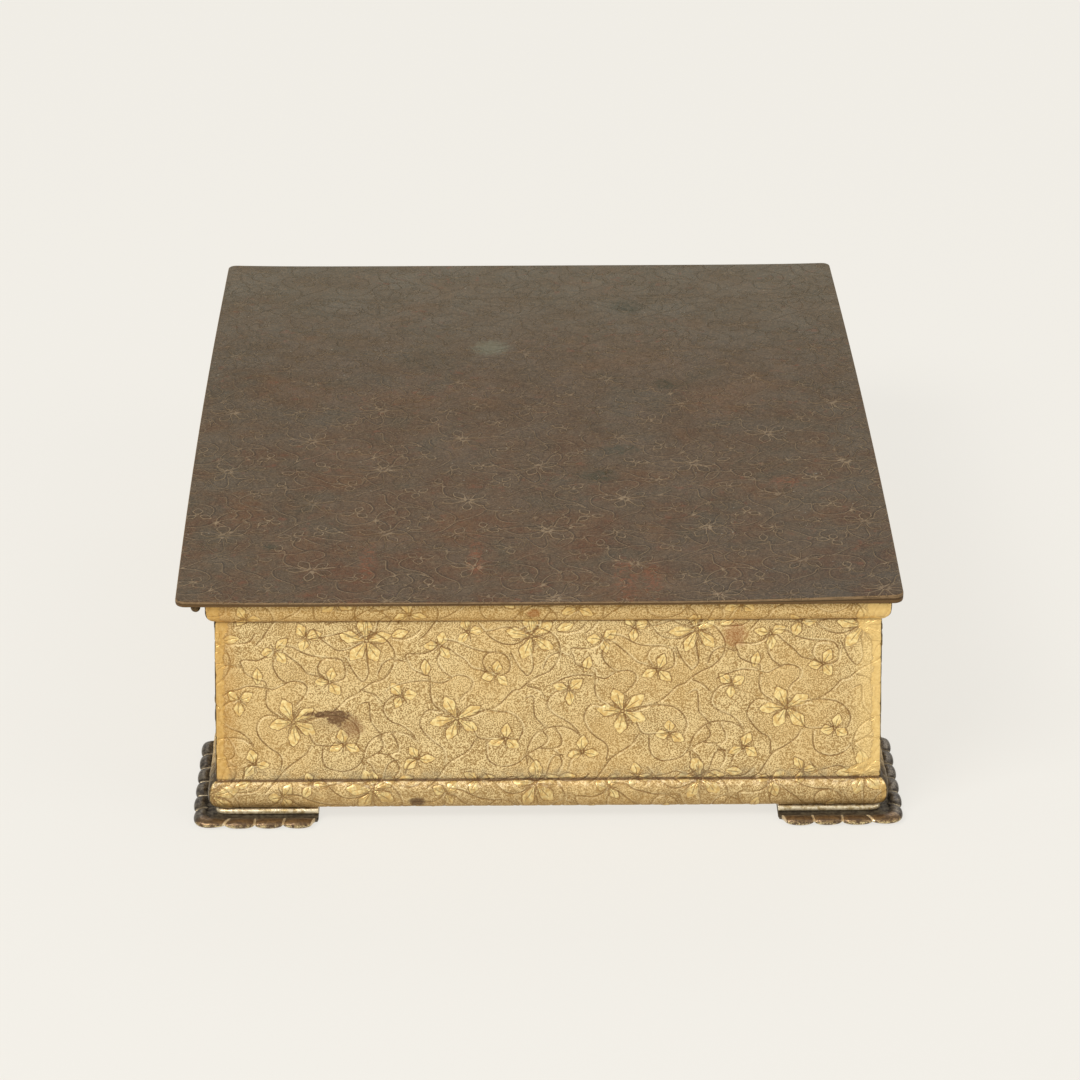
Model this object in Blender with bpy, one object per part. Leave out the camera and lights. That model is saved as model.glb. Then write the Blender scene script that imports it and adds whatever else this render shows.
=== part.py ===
"""Gilt sheet-brass trinket box: moulded walls, cast bracket feet, flat hinged lid, velvet lining.

Lengths below are millimetres. The box's own centre is x = 0; the frame's origin is the middle of the
whole outline on the ground, so everything hangs on an empty that shifts it sideways a little.
The front is a short end, facing -Y, and the hinge runs along the left side, -X.
"""
import math

import bmesh
import bpy
from mathutils import Vector

MM = 0.001

# Heights of the layers, from the ground up.
FOOT_HEIGHT = 2.4
BASE_BOTTOM = 2.7
SEAM_LOW = 8.1
SEAM_HIGH = 40.2
BODY_TOP = 44.3
LID_BOTTOM = 44.5
LID_THICKNESS = 0.9

# Half sizes of the body at its upper seam, across (x) and along (y).
HALF_X = 60.95
HALF_Y = 84.65

# Outward steps from the upper seam's plane.
FRIEZE_OUT = 1.55
BASE_OUT = 2.2
BATTER = 0.7

SHEET = 0.9
TOP_FLANGE = 2.4
BOTTOM_FLANGE = 7.0
GAP = 0.3

# Curves of the wall's section: the base roll, and the frieze's hollow.
ROLL_RADIUS = 1.4
ROLL_TOP_RADIUS = 1.5
ROLL_END_DEG = 82
FRIEZE_CENTRE_OUT = -0.1
FRIEZE_CENTRE_RISE = 2.6
FRIEZE_HEIGHT = 2.3
FRIEZE_START_DEG = -70

# Lid, measured from the box's centre.
LID_LEFT = -67.65
LID_RIGHT = 64.35
LID_HALF_Y = 87.5
LID_CORNER = 2.5
LID_ARRIS = 0.35

# Locating rim and padding under the lid.
RIM_HEIGHT = 2.6
RIM_SHEET = 1.0
RIM_CORNER = 3.0
LID_BOARD_THICK = 1.0
LID_PAD_THICK = 1.6

# Hinge.
HINGE_X = -64.25
HINGE_Z = 43.2
KNUCKLES = 13
KNUCKLE_RADIUS = 0.95
KNUCKLE_BORE = 0.6
KNUCKLE_SPACE = 0.3
PIN_RADIUS = 0.35
HINGE_HALF_LENGTH = 83.2
BALL_RADIUS = 1.0
BALL_CENTRE = 0.8
BALL_ARC_DEG = (-50, 80)

# Hinge leaves, measured from the pin: the lid's lies flat, the box's hangs and ends in a stop lip.
LEAF_SHEET = 0.4
LID_LEAF_FAR = -2.9
LID_LEAF_NEAR = -1.2
LID_LEAF_LEVEL = 0.62
LID_WEB_DEG = 150
LID_WEB_REACH = 1.5
BOX_LEAF_NEAR = 1.1
BOX_LEAF_TOP = 0.75
STOP_LIP_NEAR = 0.15
STOP_LIP_TOP = -1.3
BOX_WEB_DEG = 0
BOX_WEB_REACH = 1.3

# Bracket feet.
FOOT_INNER = -6.5
FOOT_TOP_OUT = 1.3
FOOT_LIP_OUT = 5.25
LOBE_PITCH = 5.85
LOBE_DEPTH = 0.55
CORNER_LOBE = 3.4
FRONT_LOBES = 3
SIDE_LOBES = 5
FOOT_END_RAKE = 1.2
FOOT_EDGE_LEVEL = 0.5
LOBE_SAMPLES = 5
LOBE_ROUNDNESS = 0.7
LOBED_CORNER_POWER = 2.6
PLAIN_CORNER_POWER = 6.0
CORNER_SAMPLES = 11

# Base plate, lining and screws.
BASE_PLATE_THICK = 0.8
BASE_PLATE_OUT = 0.9
BOARD_THICK = 1.2
BOARD_OUTER = -1.55
LINING_OUTER = -1.2
LINING_THICK = 2.0
LINING_TOP = 40.4
FLOOR_PAD_THICK = 3.0
PAD_SPACE = 0.35
SCREW_INSET = 3.0
SCREW_FRONT_X = 47.0
SCREW_SIDE_Y = 62.0
SCREW_SHANK = 0.9
SCREW_HEAD = 1.7
SCREW_HEAD_HEIGHT = 1.0
SCREW_TIP = 0.9
SCREW_POINT = 0.3
SCREW_EASE = 0.2
SCREW_RELIEF = 0.5
SLOT_HALF_WIDTH = 0.22
SLOT_BOTTOM = 0.55
SCREW_TURN_DEG = 35
SCREW_TURN_STEP_DEG = 50

BASE_PLATE_BOTTOM = BASE_BOTTOM + SHEET + GAP
BASE_PLATE_TOP = BASE_PLATE_BOTTOM + BASE_PLATE_THICK
BOARD_BOTTOM = BASE_PLATE_TOP + GAP
BOARD_TOP = BOARD_BOTTOM + BOARD_THICK
LINING_BOTTOM = BOARD_TOP + GAP
LINING_INNER = LINING_OUTER - LINING_THICK
LID_TOP = LID_BOTTOM + LID_THICKNESS

# The outline runs from the lid's left edge to the right feet's lip, and that span is centred.
OUTLINE_SHIFT = -(LID_LEFT + HALF_X + FOOT_LIP_OUT) / 2

SIDES = {
    "front": ((0, -1), (1, 0), HALF_Y, HALF_X),
    "back": ((0, 1), (-1, 0), HALF_Y, HALF_X),
    "left": ((-1, 0), (0, -1), HALF_X, HALF_Y),
    "right": ((1, 0), (0, 1), HALF_X, HALF_Y),
}
CORNERS = {
    "front_left": (-1, -1),
    "front_right": (1, -1),
    "back_left": (-1, 1),
    "back_right": (1, 1),
}


# ---------------------------------------------------------------- materials and frames

def clear_scene():
    for old in list(bpy.data.objects):
        bpy.data.objects.remove(old, do_unlink=True)


def make_material(name, colour, roughness, metallic):
    material = bpy.data.materials.new(name)
    material.use_nodes = True
    shader = material.node_tree.nodes["Principled BSDF"]
    shader.inputs["Base Color"].default_value = (*colour, 1.0)
    shader.inputs["Roughness"].default_value = roughness
    shader.inputs["Metallic"].default_value = metallic
    material.diffuse_color = (*colour, 1.0)
    return material


def make_frame(name, place, parent=None):
    """An empty at a place in millimetres from the box's centre, under another empty."""
    empty = bpy.data.objects.new(name, None)
    bpy.context.scene.collection.objects.link(empty)
    empty.parent = parent
    base = Vector(parent["place"]) if parent else Vector((0, 0, 0))
    empty.location = (Vector(place) - base) * MM
    empty["place"] = place
    return empty


# ---------------------------------------------------------------- mesh helpers

def loft(rings, closed=False):
    """A bmesh skin over rings of points in millimetres, capped unless its rings close on themselves."""
    mesh = bmesh.new()
    loops = [[mesh.verts.new(Vector(point) * MM) for point in ring] for ring in rings]
    count = len(loops[0])
    last = len(loops) if closed else len(loops) - 1
    for index in range(last):
        lower = loops[index]
        upper = loops[(index + 1) % len(loops)]
        for step in range(count):
            after = (step + 1) % count
            mesh.faces.new((lower[step], lower[after], upper[after], upper[step]))
    if not closed:
        mesh.faces.new(list(reversed(loops[0])))
        mesh.faces.new(loops[-1])
    bmesh.ops.recalc_face_normals(mesh, faces=mesh.faces)
    return mesh


def to_data(mesh, name, frame, smooth_deg=None):
    """Mesh data from a bmesh made about the box's centre, moved under its frame."""
    bmesh.ops.translate(mesh, verts=mesh.verts, vec=-Vector(frame["place"]) * MM)
    data = bpy.data.meshes.new(name)
    mesh.to_mesh(data)
    mesh.free()
    if smooth_deg:
        data.shade_smooth()
        data.set_sharp_from_angle(angle=math.radians(smooth_deg))
    return data


def add_node(name, data, material, frame):
    node = bpy.data.objects.new(name, data)
    data.materials.clear()
    data.materials.append(material)
    bpy.context.scene.collection.objects.link(node)
    node.parent = frame
    return node


def add_guide(name, mesh, frame):
    """A hidden shape that a Boolean modifier reads."""
    guide = bpy.data.objects.new(name, to_data(mesh, name, frame))
    bpy.context.scene.collection.objects.link(guide)
    guide.parent = frame
    guide.hide_render = True
    guide.display_type = 'WIRE'
    return guide


def boolean(node, guide, operation):
    modifier = node.modifiers.new(guide.name, 'BOOLEAN')
    modifier.operation = operation
    modifier.solver = 'EXACT'
    modifier.object = guide


def join_parts(meshes):
    """One bmesh holding several separate closed shapes."""
    joined = bmesh.new()
    for mesh in meshes:
        scratch = bpy.data.meshes.new("scratch")
        mesh.to_mesh(scratch)
        mesh.free()
        joined.from_mesh(scratch)
        bpy.data.meshes.remove(scratch)
    return joined


def arc(centre, radii, start_deg, end_deg, steps):
    """Points on an ellipse's arc, both ends included."""
    points = []
    for step in range(steps + 1):
        angle = math.radians(start_deg + (end_deg - start_deg) * step / steps)
        points.append((centre[0] + radii[0] * math.cos(angle), centre[1] + radii[1] * math.sin(angle)))
    return points


def rounded_outline(low, high, radius, steps=4):
    """A rectangle with round corners, anticlockwise from its lower left corner."""
    centres = (
        (low[0] + radius, low[1] + radius, 180),
        (high[0] - radius, low[1] + radius, 270),
        (high[0] - radius, high[1] - radius, 0),
        (low[0] + radius, high[1] - radius, 90),
    )
    outline = []
    for x, y, start in centres:
        outline += arc((x, y), (radius, radius), start, start + 90, steps)
    return outline


def slab(low, high, bottom, top, radius=0.6, bevel=0.2, steps=4):
    """A flat plate with round corners and eased upper and lower edges."""
    levels = ((bottom, bevel), (bottom + bevel, 0), (top - bevel, 0), (top, bevel))
    rings = []
    for height, inset in levels:
        outline = rounded_outline(
            (low[0] + inset, low[1] + inset), (high[0] - inset, high[1] - inset), radius, steps)
        rings.append([(x, y, height) for x, y in outline])
    return loft(rings)


def offset_inward(points, distance):
    """The polyline a sheet's thickness to the left of another, mitred at its corners."""
    offset = []
    for index, point in enumerate(points):
        here = Vector(point)
        before = (here - Vector(points[index - 1])).normalized() if index else None
        after = (Vector(points[index + 1]) - here).normalized() if index + 1 < len(points) else None
        before = before or after
        after = after or before
        normal = Vector((-before.y - after.y, before.x + after.x)).normalized()
        stretch = normal.dot(Vector((-before.y, before.x)))
        offset.append(tuple(here + normal * distance / stretch))
    return offset


# ---------------------------------------------------------------- body shell

def wall_section():
    """The wall's closed section as (outward, height): base roll, battered panel, frieze, two flanges."""
    outer = [(-BOTTOM_FLANGE, BASE_BOTTOM)]
    roll_centre = BASE_OUT - ROLL_RADIUS
    outer += arc((roll_centre, BASE_BOTTOM + ROLL_RADIUS), (ROLL_RADIUS, ROLL_RADIUS), -90, 0, 3)
    outer += arc((roll_centre, SEAM_LOW - ROLL_TOP_RADIUS), (ROLL_RADIUS, ROLL_TOP_RADIUS), 0, ROLL_END_DEG, 3)
    outer += [(BATTER, SEAM_LOW), (0, SEAM_HIGH)]
    frieze_radii = (FRIEZE_OUT - FRIEZE_CENTRE_OUT, FRIEZE_HEIGHT)
    outer += arc((FRIEZE_CENTRE_OUT, SEAM_HIGH + FRIEZE_CENTRE_RISE), frieze_radii, FRIEZE_START_DEG, 0, 3)
    outer += [(FRIEZE_OUT, BODY_TOP), (-TOP_FLANGE, BODY_TOP)]
    return outer + list(reversed(offset_inward(outer, SHEET)))


def wall_mesh(side):
    """The section carried along one side, with a mitre at both ends."""
    normal, along, reach, half_length = SIDES[side]
    rings = []
    for end in (-1, 1):
        ring = []
        for out, height in wall_section():
            run = end * (half_length + out - GAP / 2)
            x = normal[0] * (reach + out) + along[0] * run
            y = normal[1] * (reach + out) + along[1] * run
            ring.append((x, y, height))
        rings.append(ring)
    return loft(rings)


def add_walls(frame, material, clearance):
    for side in SIDES:
        name = "wall_" + side
        wall = add_node(name, to_data(wall_mesh(side), name, frame, 35), material, frame)
        boolean(wall, clearance, 'DIFFERENCE')


def add_base_plate(frame, material, clearance):
    half = (HALF_X + BASE_PLATE_OUT, HALF_Y + BASE_PLATE_OUT)
    mesh = slab((-half[0], -half[1]), half, BASE_PLATE_BOTTOM, BASE_PLATE_TOP, bevel=0.1)
    plate = add_node("base_plate", to_data(mesh, "base_plate", frame), material, frame)
    boolean(plate, clearance, 'DIFFERENCE')


# ---------------------------------------------------------------- feet and their screws

def arm_edge(start, end, lobes, level, depth):
    """A straight edge from start to end at a level, scalloped between its notches by the depth."""
    steps = lobes * LOBE_SAMPLES
    points = []
    for step in range(steps + 1):
        share = step / steps
        bulge = abs(math.sin(math.pi * lobes * share)) ** LOBE_ROUNDNESS - 1
        points.append((start + (end - start) * share, level + bulge * depth))
    return points


def foot_outline(out, lobing, end_inset):
    """One foot's plan in the quadrant where x and y are positive: along the end arm's edge, round the
    corner lobe, along the side arm's edge, and back inside."""
    edge_x = HALF_X + out
    edge_y = HALF_Y + out
    tip_x = HALF_X + FOOT_LIP_OUT - (FRONT_LOBES + 1) * LOBE_PITCH + end_inset
    tip_y = HALF_Y + FOOT_LIP_OUT - (SIDE_LOBES + 1) * LOBE_PITCH + end_inset
    points = arm_edge(tip_x, edge_x - LOBE_PITCH, FRONT_LOBES, edge_y, lobing)

    # The corner lobe is a superellipse, squarer where the edge carries no lobes.
    plainness = 1 - lobing / LOBE_DEPTH
    power = LOBED_CORNER_POWER + (PLAIN_CORNER_POWER - LOBED_CORNER_POWER) * plainness
    notch = LOBE_PITCH / CORNER_LOBE - 1
    start = math.acos(-notch ** (power / 2))
    for step in range(1, CORNER_SAMPLES):
        angle = start + (math.pi / 2 - 2 * start) * step / CORNER_SAMPLES
        x, y = (math.copysign(abs(part) ** (2 / power), part) for part in (math.cos(angle), math.sin(angle)))
        points.append((edge_x + (x - 1) * CORNER_LOBE, edge_y + (y - 1) * CORNER_LOBE))

    side = arm_edge(tip_y, edge_y - LOBE_PITCH, SIDE_LOBES, edge_x, lobing)
    points += [(x, y) for y, x in reversed(side)]
    points.append((HALF_X + FOOT_INNER, tip_y))
    points.append((HALF_X + FOOT_INNER, HALF_Y + FOOT_INNER))
    points.append((tip_x, HALF_Y + FOOT_INNER))
    return points


def foot_mesh(sign_x, sign_y):
    """Stacked outlines: lobed sole, lobed edge, hollow, upright band. Each is a height, how far out it
    lies, how deep its lobes are, and how far its ends are raked back."""
    levels = (
        (0.0, FOOT_LIP_OUT - 0.25, LOBE_DEPTH, FOOT_END_RAKE),
        (FOOT_EDGE_LEVEL, FOOT_LIP_OUT, LOBE_DEPTH, FOOT_END_RAKE * 0.9),
        (1.0, 3.3, LOBE_DEPTH * 0.5, FOOT_END_RAKE * 0.6),
        (1.3, 2.2, 0.0, FOOT_END_RAKE * 0.4),
        (1.9, FOOT_TOP_OUT + 0.3, 0.0, 0.0),
        (FOOT_HEIGHT, FOOT_TOP_OUT, 0.0, 0.0),
    )
    rings = []
    for height, out, lobing, end_inset in levels:
        outline = foot_outline(out, lobing, end_inset)
        rings.append([(sign_x * x, sign_y * y, height) for x, y in outline])
    return loft(rings)


def add_feet(frame, material, clearance):
    for corner, (sign_x, sign_y) in CORNERS.items():
        name = "foot_" + corner
        data = to_data(foot_mesh(sign_x, sign_y), name, frame, 40)
        foot = add_node(name, data, material, frame)
        boolean(foot, clearance, 'DIFFERENCE')


def screw_places():
    """Name and place of each foot screw: one in the front arm and one in the side arm of every foot."""
    places = {}
    for corner, (sign_x, sign_y) in CORNERS.items():
        places[corner + "_end"] = (sign_x * SCREW_FRONT_X, sign_y * (HALF_Y - SCREW_INSET))
        places[corner + "_side"] = (sign_x * (HALF_X - SCREW_INSET), sign_y * SCREW_SIDE_Y)
    return places


def disc(centre, radius, bottom, top, steps=12):
    """An upright round bar."""
    rings = []
    for height in (bottom, top):
        circle = arc(centre, (radius, radius), 0, 360, steps)[:-1]
        rings.append([(x, y, height) for x, y in circle])
    return loft(rings)


def screw_clearance(frame, radius, bottom, top, name):
    """A guide with one round bar at every screw."""
    bars = [disc(place, radius, bottom, top) for place in screw_places().values()]
    return add_guide(name, join_parts(bars), frame)


def screw_data(frame):
    """One slotted cheese-head screw about its own axis, its head's underside at height 0."""
    tip = SCREW_TIP - BOARD_BOTTOM
    profile = (
        (SCREW_SHANK - SCREW_POINT, tip),
        (SCREW_SHANK, tip + SCREW_POINT),
        (SCREW_SHANK, 0),
        (SCREW_HEAD, 0),
        (SCREW_HEAD, SCREW_HEAD_HEIGHT - SCREW_EASE),
        (SCREW_HEAD - SCREW_EASE, SCREW_HEAD_HEIGHT),
    )
    rings = []
    for radius, height in profile:
        rings.append([(x, y, height) for x, y in arc((0, 0), (radius, radius), 0, 360, 16)[:-1]])
    body = loft(rings)
    slot_half = (SCREW_HEAD + GAP, SLOT_HALF_WIDTH)
    slot_top = SCREW_HEAD_HEIGHT + GAP
    slot_low = (-slot_half[0], -slot_half[1])
    slot = slab(slot_low, slot_half, SLOT_BOTTOM, slot_top, radius=0.05, bevel=0.0, steps=1)
    blank = bpy.data.objects.new("blank", bpy.data.meshes.new("blank"))
    cutter = bpy.data.objects.new("cutter", bpy.data.meshes.new("cutter"))
    for holder, mesh in ((blank, body), (cutter, slot)):
        mesh.to_mesh(holder.data)
        mesh.free()
        bpy.context.scene.collection.objects.link(holder)
    boolean(blank, cutter, 'DIFFERENCE')
    evaluated = blank.evaluated_get(bpy.context.evaluated_depsgraph_get())
    data = bpy.data.meshes.new_from_object(evaluated)
    for holder in (blank, cutter):
        bpy.data.objects.remove(holder, do_unlink=True)
    return data


def add_screws(frame, material):
    data = screw_data(frame)
    for index, (place_name, (x, y)) in enumerate(screw_places().items()):
        screw = add_node("foot_screw_" + place_name, data, material, frame)
        screw.location = (x * MM, y * MM, BOARD_BOTTOM * MM)
        screw.rotation_euler = (0, 0, math.radians(SCREW_TURN_DEG + SCREW_TURN_STEP_DEG * index))


# ---------------------------------------------------------------- lining

def add_lining(frame, card, velvet):
    half_x = HALF_X + BOARD_OUTER
    half_y = HALF_Y + BOARD_OUTER
    mesh = slab((-half_x, -half_y), (half_x, half_y), BOARD_BOTTOM, BOARD_TOP, bevel=0.1)
    board = add_node("lining_floor_board", to_data(mesh, "lining_floor_board", frame), card, frame)
    relief_radius = SCREW_HEAD + SCREW_RELIEF
    relief = screw_clearance(frame, relief_radius, BOARD_BOTTOM - GAP, BOARD_TOP + GAP, "head_relief")
    boolean(board, relief, 'DIFFERENCE')

    inner_x = HALF_X + LINING_INNER
    inner_y = HALF_Y + LINING_INNER
    outer_x = HALF_X + LINING_OUTER
    outer_y = HALF_Y + LINING_OUTER
    panels = {
        "lining_left": ((-outer_x, -outer_y), (-inner_x, outer_y)),
        "lining_right": ((inner_x, -outer_y), (outer_x, outer_y)),
        "lining_front": ((-inner_x + GAP, -outer_y), (inner_x - GAP, -inner_y)),
        "lining_back": ((-inner_x + GAP, inner_y), (inner_x - GAP, outer_y)),
    }
    for name, (low, high) in panels.items():
        mesh = slab(low, high, LINING_BOTTOM, LINING_TOP, radius=0.4, bevel=0.3, steps=2)
        add_node(name, to_data(mesh, name, frame), velvet, frame)

    pad_x = inner_x - PAD_SPACE
    pad_y = inner_y - PAD_SPACE
    top = LINING_BOTTOM + FLOOR_PAD_THICK
    mesh = slab((-pad_x, -pad_y), (pad_x, pad_y), LINING_BOTTOM, top, radius=2.0, bevel=0.8)
    add_node("lining_floor_pad", to_data(mesh, "lining_floor_pad", frame), velvet, frame)


# ---------------------------------------------------------------- hinge

def knuckle_span(index):
    """The stretch along y of one knuckle, counted from the front."""
    pitch = 2 * HINGE_HALF_LENGTH / KNUCKLES
    start = -HINGE_HALF_LENGTH + index * pitch
    return start + KNUCKLE_SPACE / 2, start + pitch - KNUCKLE_SPACE / 2


def knuckle_mesh(index, web_deg, web_reach):
    """A tube round the pin with a web pointing at its leaf."""
    segments = 16
    outer = []
    inner = []
    for step in range(segments):
        swing = 360 / segments * (step + 0.5)
        angle = math.radians(web_deg + swing)
        on_web = step in (0, segments - 1)
        radius = web_reach if on_web else KNUCKLE_RADIUS
        outer.append((HINGE_X + radius * math.cos(angle), HINGE_Z + radius * math.sin(angle)))
        inner.append((
            HINGE_X + KNUCKLE_BORE * math.cos(angle), HINGE_Z + KNUCKLE_BORE * math.sin(angle)))
    front, back = knuckle_span(index)
    rings = []
    for outline, y in ((outer, front), (outer, back), (inner, back), (inner, front)):
        rings.append([(x, y, z) for x, z in outline])
    return loft(rings, closed=True)


def leaf_mesh(section, front, back):
    """A leaf's section carried along the hinge."""
    return loft([[(HINGE_X + x, y, HINGE_Z + z) for x, z in section] for y in (front, back)])


def add_leaf(name, section, knuckles, web_deg, web_reach, frame, material):
    front = knuckle_span(knuckles[0])[0]
    back = knuckle_span(knuckles[-1])[1]
    leaf = add_node(name, to_data(leaf_mesh(section, front, back), name, frame), material, frame)
    tubes = join_parts([knuckle_mesh(index, web_deg, web_reach) for index in knuckles])
    boolean(leaf, add_guide(name + "_knuckles", tubes, frame), 'UNION')


def add_hinge(box_frame, lid_frame, material):
    """The lid's leaf lies under the overhang; the box's leaf hangs on the frieze, and the lip below
    the barrel is where the lid's leaf comes to rest when it is fully open."""
    leaf_top = LID_LEAF_LEVEL + LEAF_SHEET
    lid_section = (
        (LID_LEAF_FAR, LID_LEAF_LEVEL), (LID_LEAF_NEAR, LID_LEAF_LEVEL),
        (LID_LEAF_NEAR, leaf_top), (LID_LEAF_FAR, leaf_top),
    )
    leaf_out = BOX_LEAF_NEAR + LEAF_SHEET
    lip_bottom = STOP_LIP_TOP - LEAF_SHEET
    box_section = (
        (leaf_out, BOX_LEAF_TOP), (BOX_LEAF_NEAR, BOX_LEAF_TOP), (BOX_LEAF_NEAR, STOP_LIP_TOP),
        (STOP_LIP_NEAR, STOP_LIP_TOP), (STOP_LIP_NEAR, lip_bottom), (leaf_out, lip_bottom),
    )
    lid_knuckles = range(0, KNUCKLES, 2)
    box_knuckles = range(1, KNUCKLES, 2)
    add_leaf("hinge_leaf_lid", lid_section, lid_knuckles, LID_WEB_DEG, LID_WEB_REACH, lid_frame, material)
    add_leaf("hinge_leaf_box", box_section, box_knuckles, BOX_WEB_DEG, BOX_WEB_REACH, box_frame, material)

    reach = HINGE_HALF_LENGTH + GAP + BALL_RADIUS
    circle = arc((HINGE_X, HINGE_Z), (PIN_RADIUS, PIN_RADIUS), 0, 360, 12)[:-1]
    pin = loft([[(x, y, z) for x, z in circle] for y in (-reach, reach)])
    add_node("hinge_pin", to_data(pin, "hinge_pin", box_frame, 40), material, box_frame)
    for end, sign in (("front", -1), ("back", 1)):
        add_hinge_ball("hinge_ball_" + end, sign, box_frame, material)


def add_hinge_ball(name, sign, frame, material):
    """A bead on the pin's end, with a blind bore for the pin."""
    segments = 16
    start = HINGE_HALF_LENGTH + GAP
    bore_end = start + BALL_RADIUS + GAP
    profile = [(KNUCKLE_BORE, bore_end), (KNUCKLE_BORE, start)]
    profile += arc((0, start + BALL_CENTRE), (BALL_RADIUS, BALL_RADIUS), *BALL_ARC_DEG, 8)
    rings = []
    for radius, run in profile:
        circle = arc((HINGE_X, HINGE_Z), (radius, radius), 0, 360, segments)[:-1]
        rings.append([(x, sign * run, z) for x, z in circle])
    add_node(name, to_data(loft(rings), name, frame, 50), material, frame)


# ---------------------------------------------------------------- lid

def lid_mesh():
    levels = (
        (LID_BOTTOM, 0.1),
        (LID_BOTTOM + 0.1, 0.0),
        (LID_TOP - LID_ARRIS, 0.0),
        (LID_TOP - LID_ARRIS * 0.3, LID_ARRIS * 0.3),
        (LID_TOP, LID_ARRIS),
    )
    rings = []
    for height, inset in levels:
        outline = rounded_outline(
            (LID_LEFT + inset, -LID_HALF_Y + inset), (LID_RIGHT - inset, LID_HALF_Y - inset),
            LID_CORNER - inset, 6)
        rings.append([(x, y, height) for x, y in outline])
    return loft(rings)


def rim_mesh(half_x, half_y):
    """A bent strip standing under the lid, just inside the box's mouth."""
    top = LID_BOTTOM - GAP
    bottom = top - RIM_HEIGHT
    rings = []
    for inset, height in ((0, bottom), (0, top), (RIM_SHEET, top), (RIM_SHEET, bottom)):
        outline = rounded_outline(
            (-half_x + inset, -half_y + inset), (half_x - inset, half_y - inset), RIM_CORNER - inset)
        rings.append([(x, y, height) for x, y in outline])
    return loft(rings, closed=True)


def add_lid(frame, patina, brass, card, velvet):
    add_node("lid_plate", to_data(lid_mesh(), "lid_plate", frame, 30), patina, frame)
    half_x = HALF_X - TOP_FLANGE - GAP
    half_y = HALF_Y - TOP_FLANGE - GAP
    add_node("lid_rim", to_data(rim_mesh(half_x, half_y), "lid_rim", frame, 40), brass, frame)

    inner_x = half_x - RIM_SHEET - GAP
    inner_y = half_y - RIM_SHEET - GAP
    board_top = LID_BOTTOM - GAP
    board_bottom = board_top - LID_BOARD_THICK
    mesh = slab((-inner_x, -inner_y), (inner_x, inner_y), board_bottom, board_top, radius=1.9, bevel=0.1)
    add_node("lid_lining_board", to_data(mesh, "lid_lining_board", frame), card, frame)
    pad_top = board_bottom - GAP
    pad_bottom = pad_top - LID_PAD_THICK
    mesh = slab((-inner_x, -inner_y), (inner_x, inner_y), pad_bottom, pad_top, radius=1.9, bevel=0.5)
    add_node("lid_lining_pad", to_data(mesh, "lid_lining_pad", frame), velvet, frame)


def main():
    clear_scene()
    gilt = make_material("gilt_brass", (0.72, 0.51, 0.22), 0.34, 1.0)
    patina = make_material("dark_patina_brass", (0.13, 0.095, 0.055), 0.46, 0.8)
    cast = make_material("cast_brass", (0.33, 0.25, 0.12), 0.42, 1.0)
    plain = make_material("plain_brass", (0.42, 0.30, 0.14), 0.45, 1.0)
    card = make_material("lining_card", (0.46, 0.39, 0.28), 0.95, 0.0)
    velvet = make_material("lining_velvet", (0.24, 0.03, 0.045), 0.9, 0.0)

    frame = make_frame("row_frame", (-OUTLINE_SHIFT, 0, 0))
    frame.location = (0, 0, 0)
    box = make_frame("box_frame", (0, 0, 0), frame)
    lid = make_frame("lid_frame", (HINGE_X, 0, HINGE_Z), frame)

    clearance = screw_clearance(box, SCREW_SHANK + GAP, SCREW_TIP - GAP, BOARD_BOTTOM, "screw_clearance")
    add_walls(box, gilt, clearance)
    add_base_plate(box, plain, clearance)
    add_feet(box, cast, clearance)
    add_screws(box, plain)
    add_lining(box, card, velvet)
    add_hinge(box, lid, plain)
    add_lid(lid, patina, plain, card, velvet)


main()
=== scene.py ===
"""Looks of the gilt trinket box: embossed sheet walls, patinated lid, cast feet, hinge beads, velvet.

Lengths in this script are millimetres until a mesh is made, and levels are heights above the ground.
The vine pattern is worked out with numpy in the flat of each sheet, before the sheet is bent to its
section, and kept as smooth distance fields on the vertices. The materials cut sharp lines from them.
"""
import math

import bpy
import numpy as np
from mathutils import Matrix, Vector


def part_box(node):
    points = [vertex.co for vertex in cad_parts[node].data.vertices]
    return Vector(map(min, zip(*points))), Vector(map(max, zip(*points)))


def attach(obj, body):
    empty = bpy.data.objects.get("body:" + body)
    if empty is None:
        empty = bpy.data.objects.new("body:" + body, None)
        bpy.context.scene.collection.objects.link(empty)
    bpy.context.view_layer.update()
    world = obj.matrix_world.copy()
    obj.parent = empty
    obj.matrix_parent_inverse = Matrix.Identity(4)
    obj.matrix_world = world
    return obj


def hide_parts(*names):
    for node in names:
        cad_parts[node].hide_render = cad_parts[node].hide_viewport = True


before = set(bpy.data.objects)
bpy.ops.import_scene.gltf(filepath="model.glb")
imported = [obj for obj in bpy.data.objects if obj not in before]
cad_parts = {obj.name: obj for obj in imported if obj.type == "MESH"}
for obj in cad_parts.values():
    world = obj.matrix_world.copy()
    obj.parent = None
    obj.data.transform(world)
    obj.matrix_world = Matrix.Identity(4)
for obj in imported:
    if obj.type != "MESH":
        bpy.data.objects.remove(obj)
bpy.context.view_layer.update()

MM = 0.001
SEED = 781


def span(node):
    """Lowest and highest corner of a CAD node, in millimetres."""
    low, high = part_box(node)
    return np.array(low) / MM, np.array(high) / MM


# ---------------------------------------------------------------- sizes, from the frame

BASE_OUT = 2.2
FRIEZE_OUT = 1.55
BATTER = 0.7
SHEET = 0.9

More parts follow.
